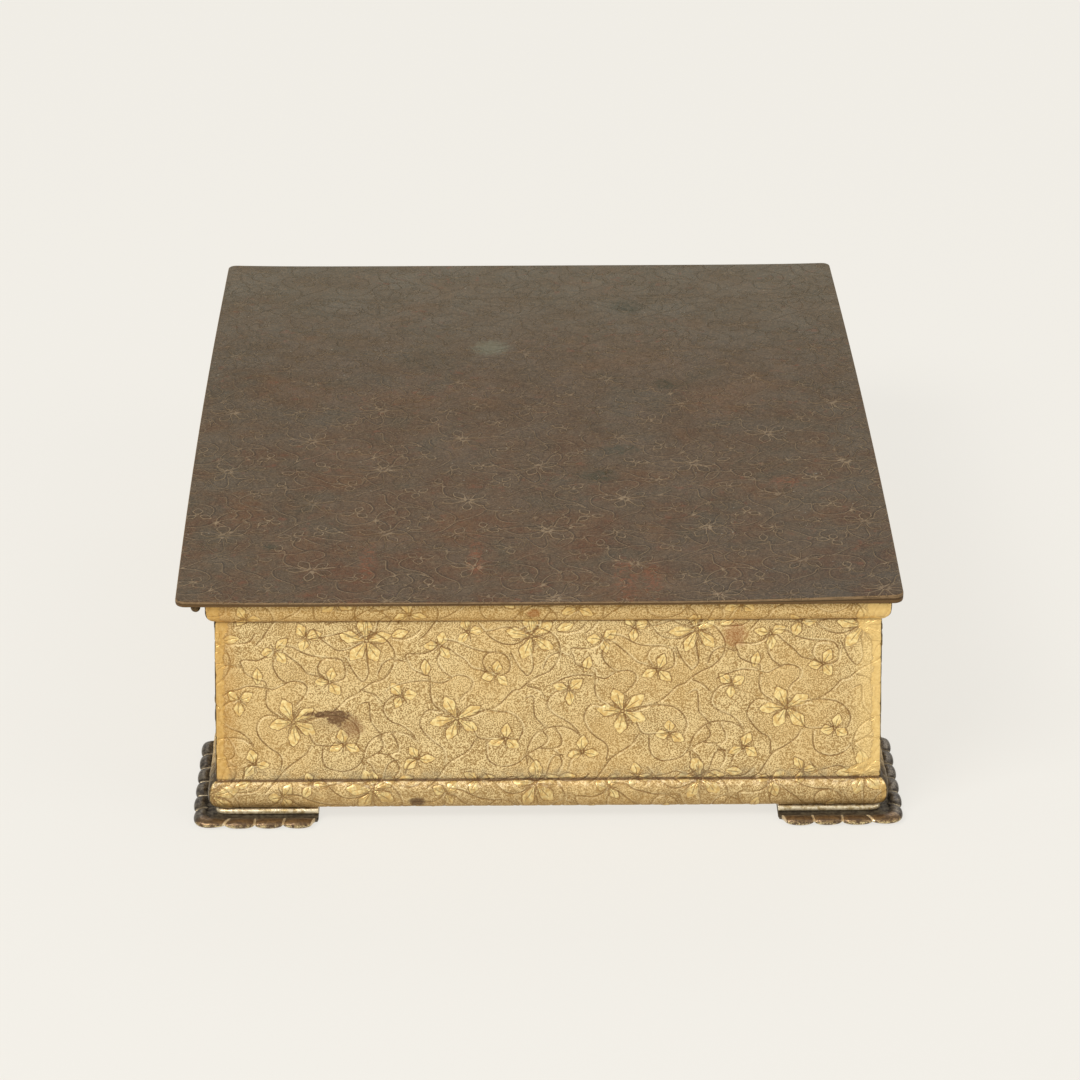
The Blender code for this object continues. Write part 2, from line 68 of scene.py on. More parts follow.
LEFT_EDGE = span("wall_left")[0][0]
RIGHT_EDGE = span("wall_right")[1][0]
CENTRE_X = (LEFT_EDGE + RIGHT_EDGE) / 2
HALF_X = (RIGHT_EDGE - LEFT_EDGE) / 2 - BASE_OUT
HALF_Y = span("wall_back")[1][1] - BASE_OUT
BASE_BOTTOM = span("wall_front")[0][2]
BODY_TOP = span("wall_front")[1][2]
SEAM_LOW = BASE_BOTTOM + 5.4
SEAM_HIGH = BODY_TOP - 4.1
FOOT_HEIGHT = span("foot_front_left")[1][2]
LID_LOW, LID_HIGH = span("lid_plate")
LID_TOP = LID_HIGH[2]

# Wall sheets: spacing of the fine mesh, flanges, and the width of the seam between two walls.
FINE = 0.27
SIDE_FINE = 0.36
TOP_FLANGE = 2.4
BOTTOM_FLANGE = 7.0
SEAM_GAP = 0.03

# Sides of the box: outward direction, along direction, half depth, half length.
SIDES = {
    "front": ((0, -1), (1, 0), HALF_Y, HALF_X),
    "back": ((0, 1), (-1, 0), HALF_Y, HALF_X),
    "left": ((-1, 0), (0, -1), HALF_X, HALF_Y),
    "right": ((1, 0), (0, 1), HALF_X, HALF_Y),
}

# ---------------------------------------------------------------- the vine pattern's repeat

TILE = np.array((30.2, 30.4))
FLOWERS = [((0.0, -0.1), 113), ((14.0, 15.8), 22)]
TREFOILS = [((7.0, 8.2), 64), ((-10.0, 4.7), 135), ((8.8, -4.9), 85), ((-3.0, 14.8), 170), ((-7.8, -8.0), 98),
            ((2.7, -13.2), 125)]
BUDS = [((14.2, -11.8), 88), ((-10.2, -12.7), 10), ((-5.8, 9.9), 80)]
VINES = [
    [(-3.4, 1.4), (-5.2, 1.6), (-6.6, 0.6), (-7.1, -1.2), (-6.4, -3.2), (-4.8, -5.0), (-3.3, -6.3),
     (-2.8, -7.8), (-3.1, -9.6)],
    [(-10.6, 4.9), (-12.3, 4.4), (-13.6, 2.8), (-13.6, 1.0), (-12.2, -0.6), (-10.2, -1.6), (-8.6, -3.2),
     (-8.0, -4.4)],
    [(-12.6, 6.0), (-11.4, 6.6), (-10.0, 7.1), (-8.0, 7.6), (-5.5, 7.4), (-3.2, 6.9), (-1.8, 7.4),
     (0.0, 8.3), (1.8, 8.1), (2.8, 7.0), (2.4, 5.6), (1.3, 4.5), (0.5, 3.6)],
    [(-3.4, 14.6), (-4.2, 13.6), (-6.0, 12.9), (-9.0, 13.0), (-8.8, 11.4), (-8.2, 10.0), (-6.4, 9.0),
     (-4.9, 8.4), (-4.8, 7.2), (-5.0, 4.4), (-4.3, 2.6), (-2.6, 1.2)],
    [(-2.8, 13.4), (-3.3, 12.2), (-3.2, 10.8), (-2.2, 9.2), (-0.9, 8.1)],
    [(-1.2, 14.0), (0.1, 12.8), (1.6, 11.4), (3.0, 9.9), (4.8, 9.1), (6.6, 8.4)],
    [(-1.8, 15.6), (0.2, 15.2), (1.6, 14.4), (3.2, 13.6), (5.4, 13.0), (7.6, 12.8), (9.2, 12.2),
     (9.9, 10.6), (9.6, 8.8), (8.2, 8.2)],
    [(4.6, 18.6), (5.6, 17.0), (7.0, 15.4), (8.8, 14.3), (11.0, 14.4), (13.0, 15.4)],
    [(8.4, 12.7), (6.2, 12.7), (5.0, 11.6), (5.0, 10.2), (5.8, 9.0)],
    [(15.0, 17.8), (17.2, 16.6), (18.6, 14.8), (19.1, 12.8), (18.5, 10.5), (17.0, 8.6), (14.6, 7.6),
     (12.9, 6.4), (11.6, 5.3), (10.2, 4.8), (8.8, 3.4), (7.0, 1.8), (5.0, 1.0), (2.0, 0.1)],
    [(10.2, 12.6), (11.0, 10.4), (12.2, 8.6), (13.2, 7.9), (14.2, 9.4), (14.1, 11.4), (13.9, 13.4)],
    [(2.6, -2.4), (3.0, -3.6), (3.8, -4.6), (5.4, -4.9), (7.4, -4.8), (8.6, -4.6)],
    [(3.0, 0.7), (5.2, 1.1), (7.5, 1.0), (9.6, 0.4), (11.2, -1.0), (11.8, -3.0), (11.0, -5.2)],
    [(4.9, -5.1), (4.8, -7.4), (5.4, -9.2), (7.0, -10.3), (9.0, -10.4), (11.0, -9.6), (12.1, -8.3)],
    [(2.7, -5.0), (1.7, -6.7), (-0.4, -8.2), (-2.2, -9.4), (-3.6, -11.2), (-5.0, -13.2), (-6.2, -14.4)],
    [(-8.0, -4.4), (-9.4, -3.2), (-11.4, -2.6), (-13.7, -2.8), (-15.2, -3.4), (-16.6, -4.7), (-17.6, -6.4),
     (-18.0, -8.4), (-17.9, -9.9)],
    [(15.4, -3.4), (16.2, -5.0), (15.4, -6.4), (13.8, -7.3), (12.3, -8.3)],
    [(12.6, 3.4), (13.9, 3.6), (14.0, 1.4), (14.2, -0.4), (15.2, -2.0), (16.0, -3.2)],
    [(-12.3, -3.0), (-11.4, -5.0), (-11.6, -6.6), (-13.2, -7.2), (-15.2, -6.9)],
    [(-13.2, -7.2), (-11.9, -8.5), (-11.4, -10.2), (-12.2, -11.8)],
    [(-7.6, -8.4), (-8.6, -8.6), (-9.7, -9.5), (-10.2, -11.2)],
    [(13.2, -13.8), (15.6, -12.8), (16.4, -10.6), (17.2, -8.9), (18.8, -8.5)],
    [(-6.4, 17.8), (-7.6, 16.7), (-9.4, 16.2), (-11.2, 16.4)],
    [(12.3, -8.2), (13.6, -9.4), (14.2, -10.6)],
    [(-14.2, 9.4), (-13.3, 11.4), (-11.4, 12.2), (-9.3, 11.4)],
    [(16.2, 3.6), (15.0, 5.0), (13.2, 5.8)],
    [(4.2, -13.6), (7.2, -13.2), (9.6, -12.6), (11.6, -13.4), (13.4, -12.6)],
]
PETALS = 5
PETAL_LENGTH = 4.8
PETAL_HALF = 1.12
LEAFLET_LENGTH = 3.0
LEAFLET_HALF = 0.92
BUD_LENGTH = 3.1
BUD_HALF = 0.85
RING = 0.38
PATTERN_TILT = 1.8
FIELD_REACH = 1.2
FIELD_CELL = 1.6
LINE_CHUNK = 6


def smoothstep(low, high, x):
    t = np.clip((x - low) / (high - low), 0, 1)
    return t * t * (3 - 2 * t)


def waves(a, b, seed, lengths, count=5):
    """Gentle unevenness from -1 to 1: a few plane waves of the given lengths in seeded directions."""
    rng = np.random.default_rng(seed)
    total = np.zeros_like(a)
    for length in lengths:
        for _ in range(count):
            turn, phase = rng.uniform(0, 2 * np.pi, 2)
            total += np.sin((a * np.cos(turn) + b * np.sin(turn)) * 2 * np.pi / length + phase)
    return total / np.sqrt(len(lengths) * count * 2)


def smooth_line(points, steps=7):
    """A Catmull-Rom curve through the points, in short straight steps."""
    points = np.array(points, float)
    ends = np.vstack([2 * points[0] - points[1], points, 2 * points[-1] - points[-2]])
    t = np.linspace(0, 1, steps, endpoint=False)[:, None]
    curve = []
    for p0, p1, p2, p3 in zip(ends, ends[1:], ends[2:], ends[3:]):
        curve.append(0.5 * (2 * p1 + (p2 - p0) * t + (2 * p0 - 5 * p1 + 4 * p2 - p3) * t**2
                            + (3 * p1 - p0 - 3 * p2 + p3) * t**3))
    return np.vstack([*curve, points[-1:]])


def turned(points, degrees, centre=(0, 0)):
    c, s = math.cos(math.radians(degrees)), math.sin(math.radians(degrees))
    return np.asarray(points, float) @ np.array(((c, s), (-s, c))) + centre


class Fields:
    """Distance fields of the pattern at a set of points: vines and veins as signed distance with the
    plain distance beside it, petals as distance to their outline, negative inside."""

    def __init__(self, a, b):
        self.points = np.column_stack([a.ravel(), b.ravel()])
        far = np.full(len(self.points), FIELD_REACH)
        self.fields = {name: far.copy() for name in ("vine", "vine_far", "vein", "vein_far", "petal")}
        self.low, self.high = self.points.min(0), self.points.max(0)
        self.cells = np.floor((self.high - self.low) / FIELD_CELL).astype(int) + 1
        cell = np.floor((self.points - self.low) / FIELD_CELL).astype(int)
        key = cell[:, 0] * self.cells[1] + cell[:, 1]
        self.order = np.argsort(key, kind="stable")
        self.starts = np.searchsorted(key[self.order], np.arange(self.cells.prod() + 1))

    def near(self, low, high):
        """Indices of the points in the cells that a box and its surroundings touch."""
        if (low - FIELD_REACH > self.high).any() or (high + FIELD_REACH < self.low).any():
            return self.order[:0]
        first = np.clip(np.floor((low - FIELD_REACH - self.low) / FIELD_CELL).astype(int), 0, self.cells - 1)
        last = np.clip(np.floor((high + FIELD_REACH - self.low) / FIELD_CELL).astype(int), 0, self.cells - 1)
        columns = np.arange(first[0], last[0] + 1) * self.cells[1]
        runs = [self.order[self.starts[c + first[1]]:self.starts[c + last[1] + 1]] for c in columns]
        return np.concatenate(runs)

    def line(self, curve, name):
        for first in range(0, len(curve) - 1, LINE_CHUNK):
            self.short_line(curve[first:first + LINE_CHUNK + 1], name)

    def short_line(self, curve, name):
        found = self.near(curve.min(0), curve.max(0))
        if not found.size:
            return
        step = np.diff(curve, axis=0)
        rel = self.points[found][:, None] - curve[:-1][None]
        t = np.clip((rel * step).sum(2) / (step**2).sum(1), 0, 1)
        away = rel - t[..., None] * step
        distance = np.sqrt((away**2).sum(2))
        k = distance.argmin(1)
        rows = np.arange(len(found))
        best = distance[rows, k]
        side = np.sign(step[k, 0] * rel[rows, k, 1] - step[k, 1] * rel[rows, k, 0])
        better = best < self.fields[name + "_far"][found]
        self.fields[name + "_far"][found[better]] = best[better]
        self.fields[name][found[better]] = (side * best)[better]

    def petal(self, centre, degrees, length, half, outline, bend=0.0):
        """A petal from the centre outwards. The outline gives its half width, as a share of half, at
        shares of its length; bend bows it sideways, in millimetres at its tip."""
        found = self.near(np.array(centre) - length, np.array(centre) + length)
        if not found.size:
            return
        local = turned(self.points[found] - centre, -degrees)
        u = local[:, 0] / length
        across = np.abs(local[:, 1] - bend * np.clip(u, 0, 1) ** 2)
        width = half * np.interp(u, *outline)
        start = outline[0][0] * length
        ends = np.maximum(local[:, 0] - length, start - local[:, 0])
        distance = np.where(u > 1, np.hypot(ends.clip(0), across), np.maximum((across - width) * 0.85, ends))
        self.fields["petal"][found] = np.minimum(self.fields["petal"][found], distance)

    def vein(self, centre, degrees, start, end, bend=0.0):
        u = np.linspace(start, end, 6)
        bow = bend * np.sin(np.linspace(0, np.pi, 6))
        self.line(turned(np.column_stack([u, bow]), degrees, centre), "vein")

    def ring(self, centre, radius):
        turn = np.linspace(0, 2 * np.pi, 13)
        self.line(np.column_stack([np.cos(turn), np.sin(turn)]) * radius + centre, "vein")


def soft_outline(*corners):
    """A petal's outline through corner points (share of length, share of half width), eased between."""
    u, width = np.array(corners).T
    fine = np.linspace(u[0], u[-1], 60)
    eased = np.interp(fine, u, width)
    kernel = np.hanning(7)[1:-1]
    padded = np.pad(eased, 2, mode="edge")
    eased = np.convolve(padded, kernel / kernel.sum(), mode="valid")
    eased[-1] = 0
    return fine, eased


LOBED = soft_outline((0.1, 0.14), (0.3, 0.34), (0.48, 0.72), (0.62, 1.0), (0.72, 0.94), (0.78, 0.62),
                     (0.86, 0.66), (0.92, 0.36), (1.0, 0.0))
NOTCHED = soft_outline((0.1, 0.16), (0.36, 0.5), (0.56, 0.9), (0.7, 1.0), (0.78, 0.74), (0.84, 0.46),
                       (0.9, 0.42), (1.0, 0.0))
LEAFLET = soft_outline((0.14, 0.2), (0.32, 0.6), (0.5, 1.0), (0.62, 0.94), (0.7, 0.66), (0.8, 0.6),
                       (0.9, 0.3), (1.0, 0.0))
BUD = soft_outline((0.0, 0.2), (0.3, 0.8), (0.5, 1.0), (0.75, 0.6), (1.0, 0.0))


def draw_flower(fields, centre, degrees, rng):
    for k in range(PETALS):
        angle = degrees + k * 360 / PETALS + rng.uniform(-10, 10)
        length = PETAL_LENGTH * rng.uniform(0.9, 1.08)
        bend = rng.uniform(-0.5, 0.5)
        outline = LOBED if rng.random() < 0.6 else NOTCHED
        fields.petal(centre, angle, length, PETAL_HALF * rng.uniform(0.85, 1.1), outline, bend)
        fields.vein(centre, angle, 0.8, length * 0.7, bend * 0.25)
        for side in (-1, 1):
            fields.vein(centre, angle + side * 27, 0.6, rng.uniform(1.8, 3.3), side * 0.15)
    fields.ring(centre, RING)


def draw_trefoil(fields, centre, degrees, rng):
    for k in range(3):
        angle = degrees + k * 120 + rng.uniform(-14, 14)
        length = LEAFLET_LENGTH * rng.uniform(0.86, 1.12)
        half = LEAFLET_HALF * rng.uniform(0.85, 1.15)
        fields.petal(centre, angle, length, half, LEAFLET, rng.uniform(-0.5, 0.5))
        fields.vein(centre, angle, 0.5, length * 0.66, rng.uniform(-0.12, 0.12))
        fields.vein(centre, angle + 60 + rng.uniform(-12, 12), 0.3, rng.uniform(0.9, 1.7))
    fields.ring(centre, RING * 0.8)


def draw_bud(fields, centre, degrees, rng):
    start = np.array(centre) - turned((BUD_LENGTH / 2, 0), degrees)
    fields.petal(start, degrees, BUD_LENGTH, BUD_HALF, BUD, rng.uniform(-0.3, 0.3))
    fields.vein(start, degrees, 0.4, BUD_LENGTH * 0.7)


def pattern(a, b, origin, seed):
    """The repeat laid over points (a, b) from an origin, with each copy drawn a little differently."""
    fields = Fields(a, b)
    middle = np.array(origin, float)
    reach = np.abs(fields.points - middle).max(0)
    tiles = np.ceil(reach / TILE).astype(int) + 1
    for i in range(-tiles[0], tiles[0] + 1):
        for j in range(-tiles[1], tiles[1] + 1):
            rng = np.random.default_rng((SEED, seed, i + 50, j + 50))
            offset = TILE * (i, j)

            def place(point, jitter):
                moved = np.array(point) + offset + rng.uniform(-jitter, jitter, 2)
                return turned(moved, PATTERN_TILT, middle)

            for draw, items, jitter, swing in ((draw_flower, FLOWERS, 0.3, 12),
                                               (draw_trefoil, TREFOILS, 0.3, 14), (draw_bud, BUDS, 0.5, 20)):
                for point, degrees in items:
                    draw(fields, place(point, jitter), degrees + rng.uniform(-swing, swing), rng)
            for vine in VINES:
                loose = np.array(vine) + offset + rng.normal(0, 0.07, (len(vine), 2))
                fields.line(turned(smooth_line(loose), PATTERN_TILT, middle), "vine")
    return {name: values.reshape(a.shape) for name, values in fields.fields.items()}


def relief(fields):
    """Height of the chased surface in millimetres: petals stand up, vines and veins are cut in."""
    petal = smoothstep(0.12, -0.2, fields["petal"])
    vine = smoothstep(0.32, 0.0, fields["vine_far"])
    vein = smoothstep(0.26, 0.0, fields["vein_far"])
    return 0.1 * petal - 0.09 * vine - 0.05 * vein


# ---------------------------------------------------------------- meshes from arrays

def mesh_object(name, vertices, faces, attributes=None, caps=(), smooth=True):
    """An object from vertices in millimetres, quads as rows of four indices, and caps, which are flat
    faces of many corners. Attributes are one number per vertex. A closed mesh comes out facing outwards."""
    vertices = np.asarray(vertices, float)
    faces = np.asarray(faces)
    caps = [np.asarray(loop) for loop in caps]
    if signed_volume(vertices, faces, caps) < 0:
        faces = faces[:, ::-1]
        caps = [loop[::-1] for loop in caps]
    sizes = np.concatenate([np.full(len(faces), faces.shape[1]), [len(loop) for loop in caps]])
    corners = np.concatenate([faces.ravel(), *caps]).astype(np.int32)
    mesh = bpy.data.meshes.new(name)
    mesh.vertices.add(len(vertices))
    mesh.vertices.foreach_set("co", (vertices * MM).astype(np.float32).ravel())
    mesh.loops.add(len(corners))
    mesh.loops.foreach_set("vertex_index", corners)
    mesh.polygons.add(len(sizes))
    starts = np.concatenate([[0], np.cumsum(sizes)[:-1]])
    mesh.polygons.foreach_set("loop_start", starts.astype(np.int32))
    mesh.update(calc_edges=True)
    mesh.polygons.foreach_set("use_smooth", [smooth] * len(faces) + [False] * len(caps))
    for key, values in (attributes or {}).items():
        attribute = mesh.attributes.new(key, "FLOAT", "POINT")
        attribute.data.foreach_set("value", np.asarray(values, np.float32).ravel())
    made = bpy.data.objects.new(name, mesh)
    bpy.context.scene.collection.objects.link(made)
    return made


def signed_volume(vertices, faces, caps):
    """Six times the volume inside a closed mesh, negative where its faces look inwards."""
    total = 0.0
    corners = [faces[:, k] for k in range(faces.shape[1])]
    fans = [(corners[0], corners[k], corners[k + 1]) for k in range(1, len(corners) - 1)]
    fans += [(np.full(len(loop) - 2, loop[0]), loop[1:-1], loop[2:]) for loop in caps]
    for a, b, c in fans:
        total += np.einsum("ij,ij->", vertices[a], np.cross(vertices[b], vertices[c]))
    return total


def ring_faces(rings):
    """Quads between each ring of vertices and the next."""
    after = np.roll(rings, -1, axis=1)
    return np.stack([rings[:-1], rings[1:], after[1:], after[:-1]], -1).reshape(-1, 4)


def grid_faces(rows, columns, closed_rows=False, closed_columns=False):
    """Quads of a grid of vertices numbered row by row."""
    i = np.arange(rows if closed_rows else rows - 1)[:, None]
    j = np.arange(columns if closed_columns else columns - 1)[None]
    i2, j2 = (i + 1) % rows, (j + 1) % columns
    corners = [i * columns + j, i * columns + j2, i2 * columns + j2, i2 * columns + j]
    return np.stack(np.broadcast_arrays(*corners), -1).reshape(-1, 4)


def arc(centre, radii, start, end, steps):
    turn = np.radians(np.linspace(start, end, steps))
    return np.column_stack([centre[0] + radii[0] * np.cos(turn), centre[1] + radii[1] * np.sin(turn)])


def resample(points, spacing):
    """Points at an even spacing along a path, with both its ends."""
    points = np.asarray(points, float)
    along = np.concatenate([[0], np.cumsum(np.linalg.norm(np.diff(points, axis=0), axis=1))])
    count = max(int(round(along[-1] / spacing)), 1)
    t = np.linspace(0, along[-1], count + 1)
    return np.column_stack([np.interp(t, along, points[:, k]) for k in (0, 1)])


def join_path(*pieces):
    """One path from pieces that start where the last one ended, without double points."""
    path = [np.asarray(pieces[0])]
    for piece in pieces[1:]:
        same = np.linalg.norm(np.asarray(piece)[0] - path[-1][-1]) < 1e-6
        path.append(np.asarray(piece)[1 if same else 0:])
    return np.vstack(path)


def path_normals(path):
    """Unit normals to the right of a path, and how far a corner point moves for a unit offset."""
    step = np.diff(path, axis=0)
    step /= np.linalg.norm(step, axis=1)[:, None]
    before, after = np.vstack([step[:1], step]), np.vstack([step, step[-1:]])
    right = np.column_stack([before[:, 1] + after[:, 1], -before[:, 0] - after[:, 0]])
    length = np.linalg.norm(right, axis=1)
    return right / length[:, None], np.clip(2 / length, 1, 1.5)


# ---------------------------------------------------------------- walls

ROLL_RADII = (1.4, 2.2)
ROLL_LOW = BASE_BOTTOM + ROLL_RADII[1]
ROLL_HIGH = SEAM_LOW - ROLL_RADII[1]
ROLL_IN = BASE_OUT - ROLL_RADII[0]
FRIEZE_RADII = (1.65, 2.3)
FRIEZE_CENTRE = (FRIEZE_OUT - FRIEZE_RADII[0], SEAM_HIGH + 2.6)
ROLL_CORNER = 1.4
PANEL_CORNER = 0.55
HIDDEN_CORNER = 0.05
DENT = 0.05


def wall_outer(fine):
    """The sheet's outer face from the bottom flange up to the top flange, as (outward, level)."""
    roll = join_path(arc((ROLL_IN, ROLL_LOW), ROLL_RADII, -90, 0, 14),
                     arc((ROLL_IN, ROLL_HIGH), ROLL_RADII, 0, 80, 14))
    body = [(BATTER - 0.14, SEAM_LOW + 0.06), (BATTER, SEAM_LOW + 0.26), (0, SEAM_HIGH - 0.3)]
    frieze = join_path([(-0.12, SEAM_HIGH + 0.02)], arc(FRIEZE_CENTRE, FRIEZE_RADII, -68, 0, 16),
                       [(FRIEZE_OUT, BODY_TOP - 0.3), (FRIEZE_OUT - 0.09, BODY_TOP - 0.08),
                        (FRIEZE_OUT - 0.3, BODY_TOP)])
    return join_path(resample([(-BOTTOM_FLANGE, BASE_BOTTOM), (ROLL_IN, BASE_BOTTOM)], 1.6),
                     resample(roll, fine), resample(body[:2], 0.2), resample(body[1:], fine),
                     resample(frieze, fine),
                     resample([(FRIEZE_OUT - 0.3, BODY_TOP), (-TOP_FLANGE, BODY_TOP)], 0.9))


def wall_inner():
    """The hidden face, a sheet's thickness inside a plainer copy of the outer one."""
    plain = join_path([(-BOTTOM_FLANGE, BASE_BOTTOM)], arc((ROLL_IN, ROLL_LOW), ROLL_RADII, -90, 0, 5),
                      arc((ROLL_IN, ROLL_HIGH), ROLL_RADII, 0, 80, 5), [(BATTER, SEAM_LOW + 0.3)],
                      resample([(BATTER, SEAM_LOW + 0.4), (0, SEAM_HIGH)], 4.0),
                      arc(FRIEZE_CENTRE, FRIEZE_RADII, -68, 0, 5),
                      [(FRIEZE_OUT, BODY_TOP), (-TOP_FLANGE, BODY_TOP)])
    right, reach = path_normals(plain)
    return (plain - right * (reach * SHEET)[:, None])[::-1]


def wall_columns(half, fine):
    """Places along a wall as shares of its half length, closer together at the two corners."""
    middle = np.linspace(-1, 1, int(2 * half / fine))
    edge = 1 - np.array((0.0, 0.12, 0.25, 0.4, 0.6, 0.85, 1.1, 1.4, 1.7, 2.0)) / half
    middle = middle[np.abs(middle) < edge[-1] - 0.1 / half]
    return np.concatenate([-edge, middle, edge[::-1]])


def build_wall(side, spacing, origin, seed):
    outward, along, depth, half = SIDES[side]
    outer, inner = wall_outer(spacing), wall_inner()
    loop = np.vstack([outer, inner])
    normal = np.vstack([path_normals(outer)[0], -path_normals(inner[::-1])[0][::-1]])
    shares = wall_columns(half, spacing)
    rows, columns = len(loop), len(shares)

    is_outer = np.arange(rows) < len(outer)
    radius = np.where(loop[:, 1] < SEAM_LOW, ROLL_CORNER, PANEL_CORNER)
    radius = np.where(is_outer & (loop[:, 0] >= -0.5), radius, HIDDEN_CORNER)[:, None]
    out, level = loop[:, :1], loop[:, 1:]
    straight = half + out - radius
    s = shares * (straight + radius * np.pi / 4 - SEAM_GAP)
    turn = np.clip((np.abs(s) - straight) / radius, 0, np.pi / 4)
    x = np.where(np.abs(s) < straight, np.abs(s), straight + radius * np.sin(turn)) * np.sign(s)
    o = out - radius * (1 - np.cos(turn))

    height = np.concatenate([[0], np.cumsum(np.linalg.norm(np.diff(outer, axis=0), axis=1))])
    height += 22 - np.interp(22, outer[:, 1], height)
    developed = np.concatenate([height, np.full(len(inner), height[-1] + 40)])[:, None] + 0 * s
    fields = pattern(s, developed, origin, seed)
    face = (is_outer & (loop[:, 0] > -0.5))[:, None]
    dents = DENT * waves(s, developed, (SEED, seed, 7), (34, 17, 9))
    lift = np.where(face, relief(fields), 0)
    on_body = (smoothstep(SEAM_LOW + 0.6, SEAM_LOW + 4, level)
               * smoothstep(SEAM_HIGH - 0.6, SEAM_HIGH - 4, level))
    lift = lift + np.where(is_outer[:, None], dents * (0.25 + 0.75 * on_body), 0)
    bend = np.sign(s) * turn

    o_shift = lift * normal[:, :1]
    x = x + o_shift * np.sin(bend)
    o = o + o_shift * np.cos(bend)
    z = level + lift * normal[:, 1:]
    place = np.stack([CENTRE_X + along[0] * x + outward[0] * (depth + o),
                      along[1] * x + outward[1] * (depth + o), z + 0 * s], -1)

    fields["edge"] = half + out - np.abs(s)
    fields["level"] = level + 0 * s
    fields["across"] = s
    starts = np.arange(rows) * columns
    return mesh_object("wall_sheet_" + side, place.reshape(-1, 3),
                       grid_faces(rows, columns, closed_rows=True), fields,
                       caps=[starts, starts[::-1] + columns - 1])


# ---------------------------------------------------------------- lid

LID_CORNER = 1.8
LID_ARRIS = 0.25
LID_BOW = 0.75
LID_EASE = 0.1
LID_CELL = (0.48, 0.58)
LID_RELIEF = 0.6
LID_DENT = 0.035
CORNER_LIFT = 0.34
FRONT_SAG = 0.12
RIGHT_LIFT = 0.6


def lid_axis(half, cell):
    edge = half - np.array((0.0, 0.05, 0.12, 0.22, 0.36, 0.6, 0.95))
    middle = np.linspace(-edge[-1], edge[-1], int(2 * edge[-1] / cell))[1:-1]
    return np.concatenate([-edge, middle, edge[::-1]])


def build_lid():
    centre = (LID_LOW + LID_HIGH) / 2
    half_x, half_y = (LID_HIGH - LID_LOW)[:2] / 2
    x, y = np.meshgrid(lid_axis(half_x, LID_CELL[0]), lid_axis(half_y, LID_CELL[1]))
    ex = np.clip((np.abs(x) - (half_x - LID_CORNER)) / LID_CORNER, 0, 1)
    ey = np.clip((np.abs(y) - (half_y - LID_CORNER)) / LID_CORNER, 0, 1)
    cx, cy = ex * np.sqrt(1 - ey**2 / 2), ey * np.sqrt(1 - ex**2 / 2)
    inset = LID_CORNER * (1 - np.hypot(cx, cy))
    px = np.sign(x) * (np.minimum(np.abs(x), half_x - LID_CORNER) + LID_CORNER * cx)
    py = np.sign(y) * (np.minimum(np.abs(y), half_y - LID_CORNER) + LID_CORNER * cy)
    bow = LID_EASE + LID_BOW * (1 - (py / half_y) ** 2)
    px = px * (1 + bow / half_x)

    fields = pattern(px, py, (-12.0, -72.0), 9)
    drop = LID_ARRIS - np.sqrt(np.clip(LID_ARRIS**2 - np.clip(LID_ARRIS - inset, 0, None) ** 2, 0, None))
    flat = smoothstep(0.2, 2.0, inset)
    sag = lid_warp(px / half_x, py / half_y)
    unevenness = LID_RELIEF * relief(fields) + LID_DENT * waves(px, py, (SEED, 3), (60, 27, 12))
    pz = LID_TOP - drop + sag + flat * unevenness
    top = np.stack([px + centre[0], py + centre[1], pz], -1)
    rows, columns = x.shape

    around = outline_loop(rows, columns)
    rim = top.reshape(-1, 3)[around]
    rim_sag = sag.ravel()[around]
    low = LID_LOW[2]
    towards = centre[:2] - rim[:, :2]
    towards /= np.linalg.norm(towards, axis=1)[:, None]
    rings = []
    for level, inward in ((LID_TOP - LID_ARRIS - 0.08, 0.0), (low + 0.3, 0.02), (low + 0.16, 0.06),
                          (low + 0.05, 0.16), (low, 0.4), (low, 3.0)):
        flatten = np.clip((level - low) / (LID_TOP - low), 0, 1)
        rings.append(np.column_stack([rim[:, :2] + towards * inward, level + rim_sag * flatten]))
    vertices = np.vstack([top.reshape(-1, 3), *rings])
    count = len(around)
    attributes = {name: np.concatenate([values.ravel(), np.full(count * len(rings), FIELD_REACH)])
                  for name, values in fields.items()}
    ring_insets = np.repeat([-0.2, -0.5, -0.7, -0.9, -1.1, -3], count)
    attributes["inset"] = np.concatenate([inset.ravel(), ring_insets])
    attributes["across"] = np.concatenate([px.ravel(), np.tile(rim[:, 0] - centre[0], len(rings))])
    attributes["along"] = np.concatenate([py.ravel(), np.tile(rim[:, 1], len(rings))])

    start = rows * columns
    ring_index = np.vstack([around, *[start + r * count + np.arange(count) for r in range(len(rings))]])
    faces = np.vstack([grid_faces(rows, columns), ring_faces(ring_index)])
    return mesh_object("lid_sheet", vertices, faces, attributes, caps=[ring_index[-1][::-1]])


def lid_warp(u, v):
    """Height of the worn lid's gentle warp in millimetres, over shares of its half sizes: the corners
    stand up, the middle of the front sags, and the front right part stands higher."""
    corners = CORNER_LIFT * np.abs(u * v) ** 6
    front = -FRONT_SAG * smoothstep(0.2, -1.0, v) * (1 - u**2)
    right = RIGHT_LIFT * smoothstep(0.35, 1.0, u) * smoothstep(0.1, -1, v)
    return corners + front + right


def outline_loop(rows, columns):
    """Indices of a grid's outer vertices, counter-clockwise from the first."""
    grid = np.arange(rows * columns).reshape(rows, columns)
    return np.concatenate([grid[0, :-1], grid[:-1, -1], grid[-1, :0:-1], grid[:0:-1, 0]])


# ---------------------------------------------------------------- feet

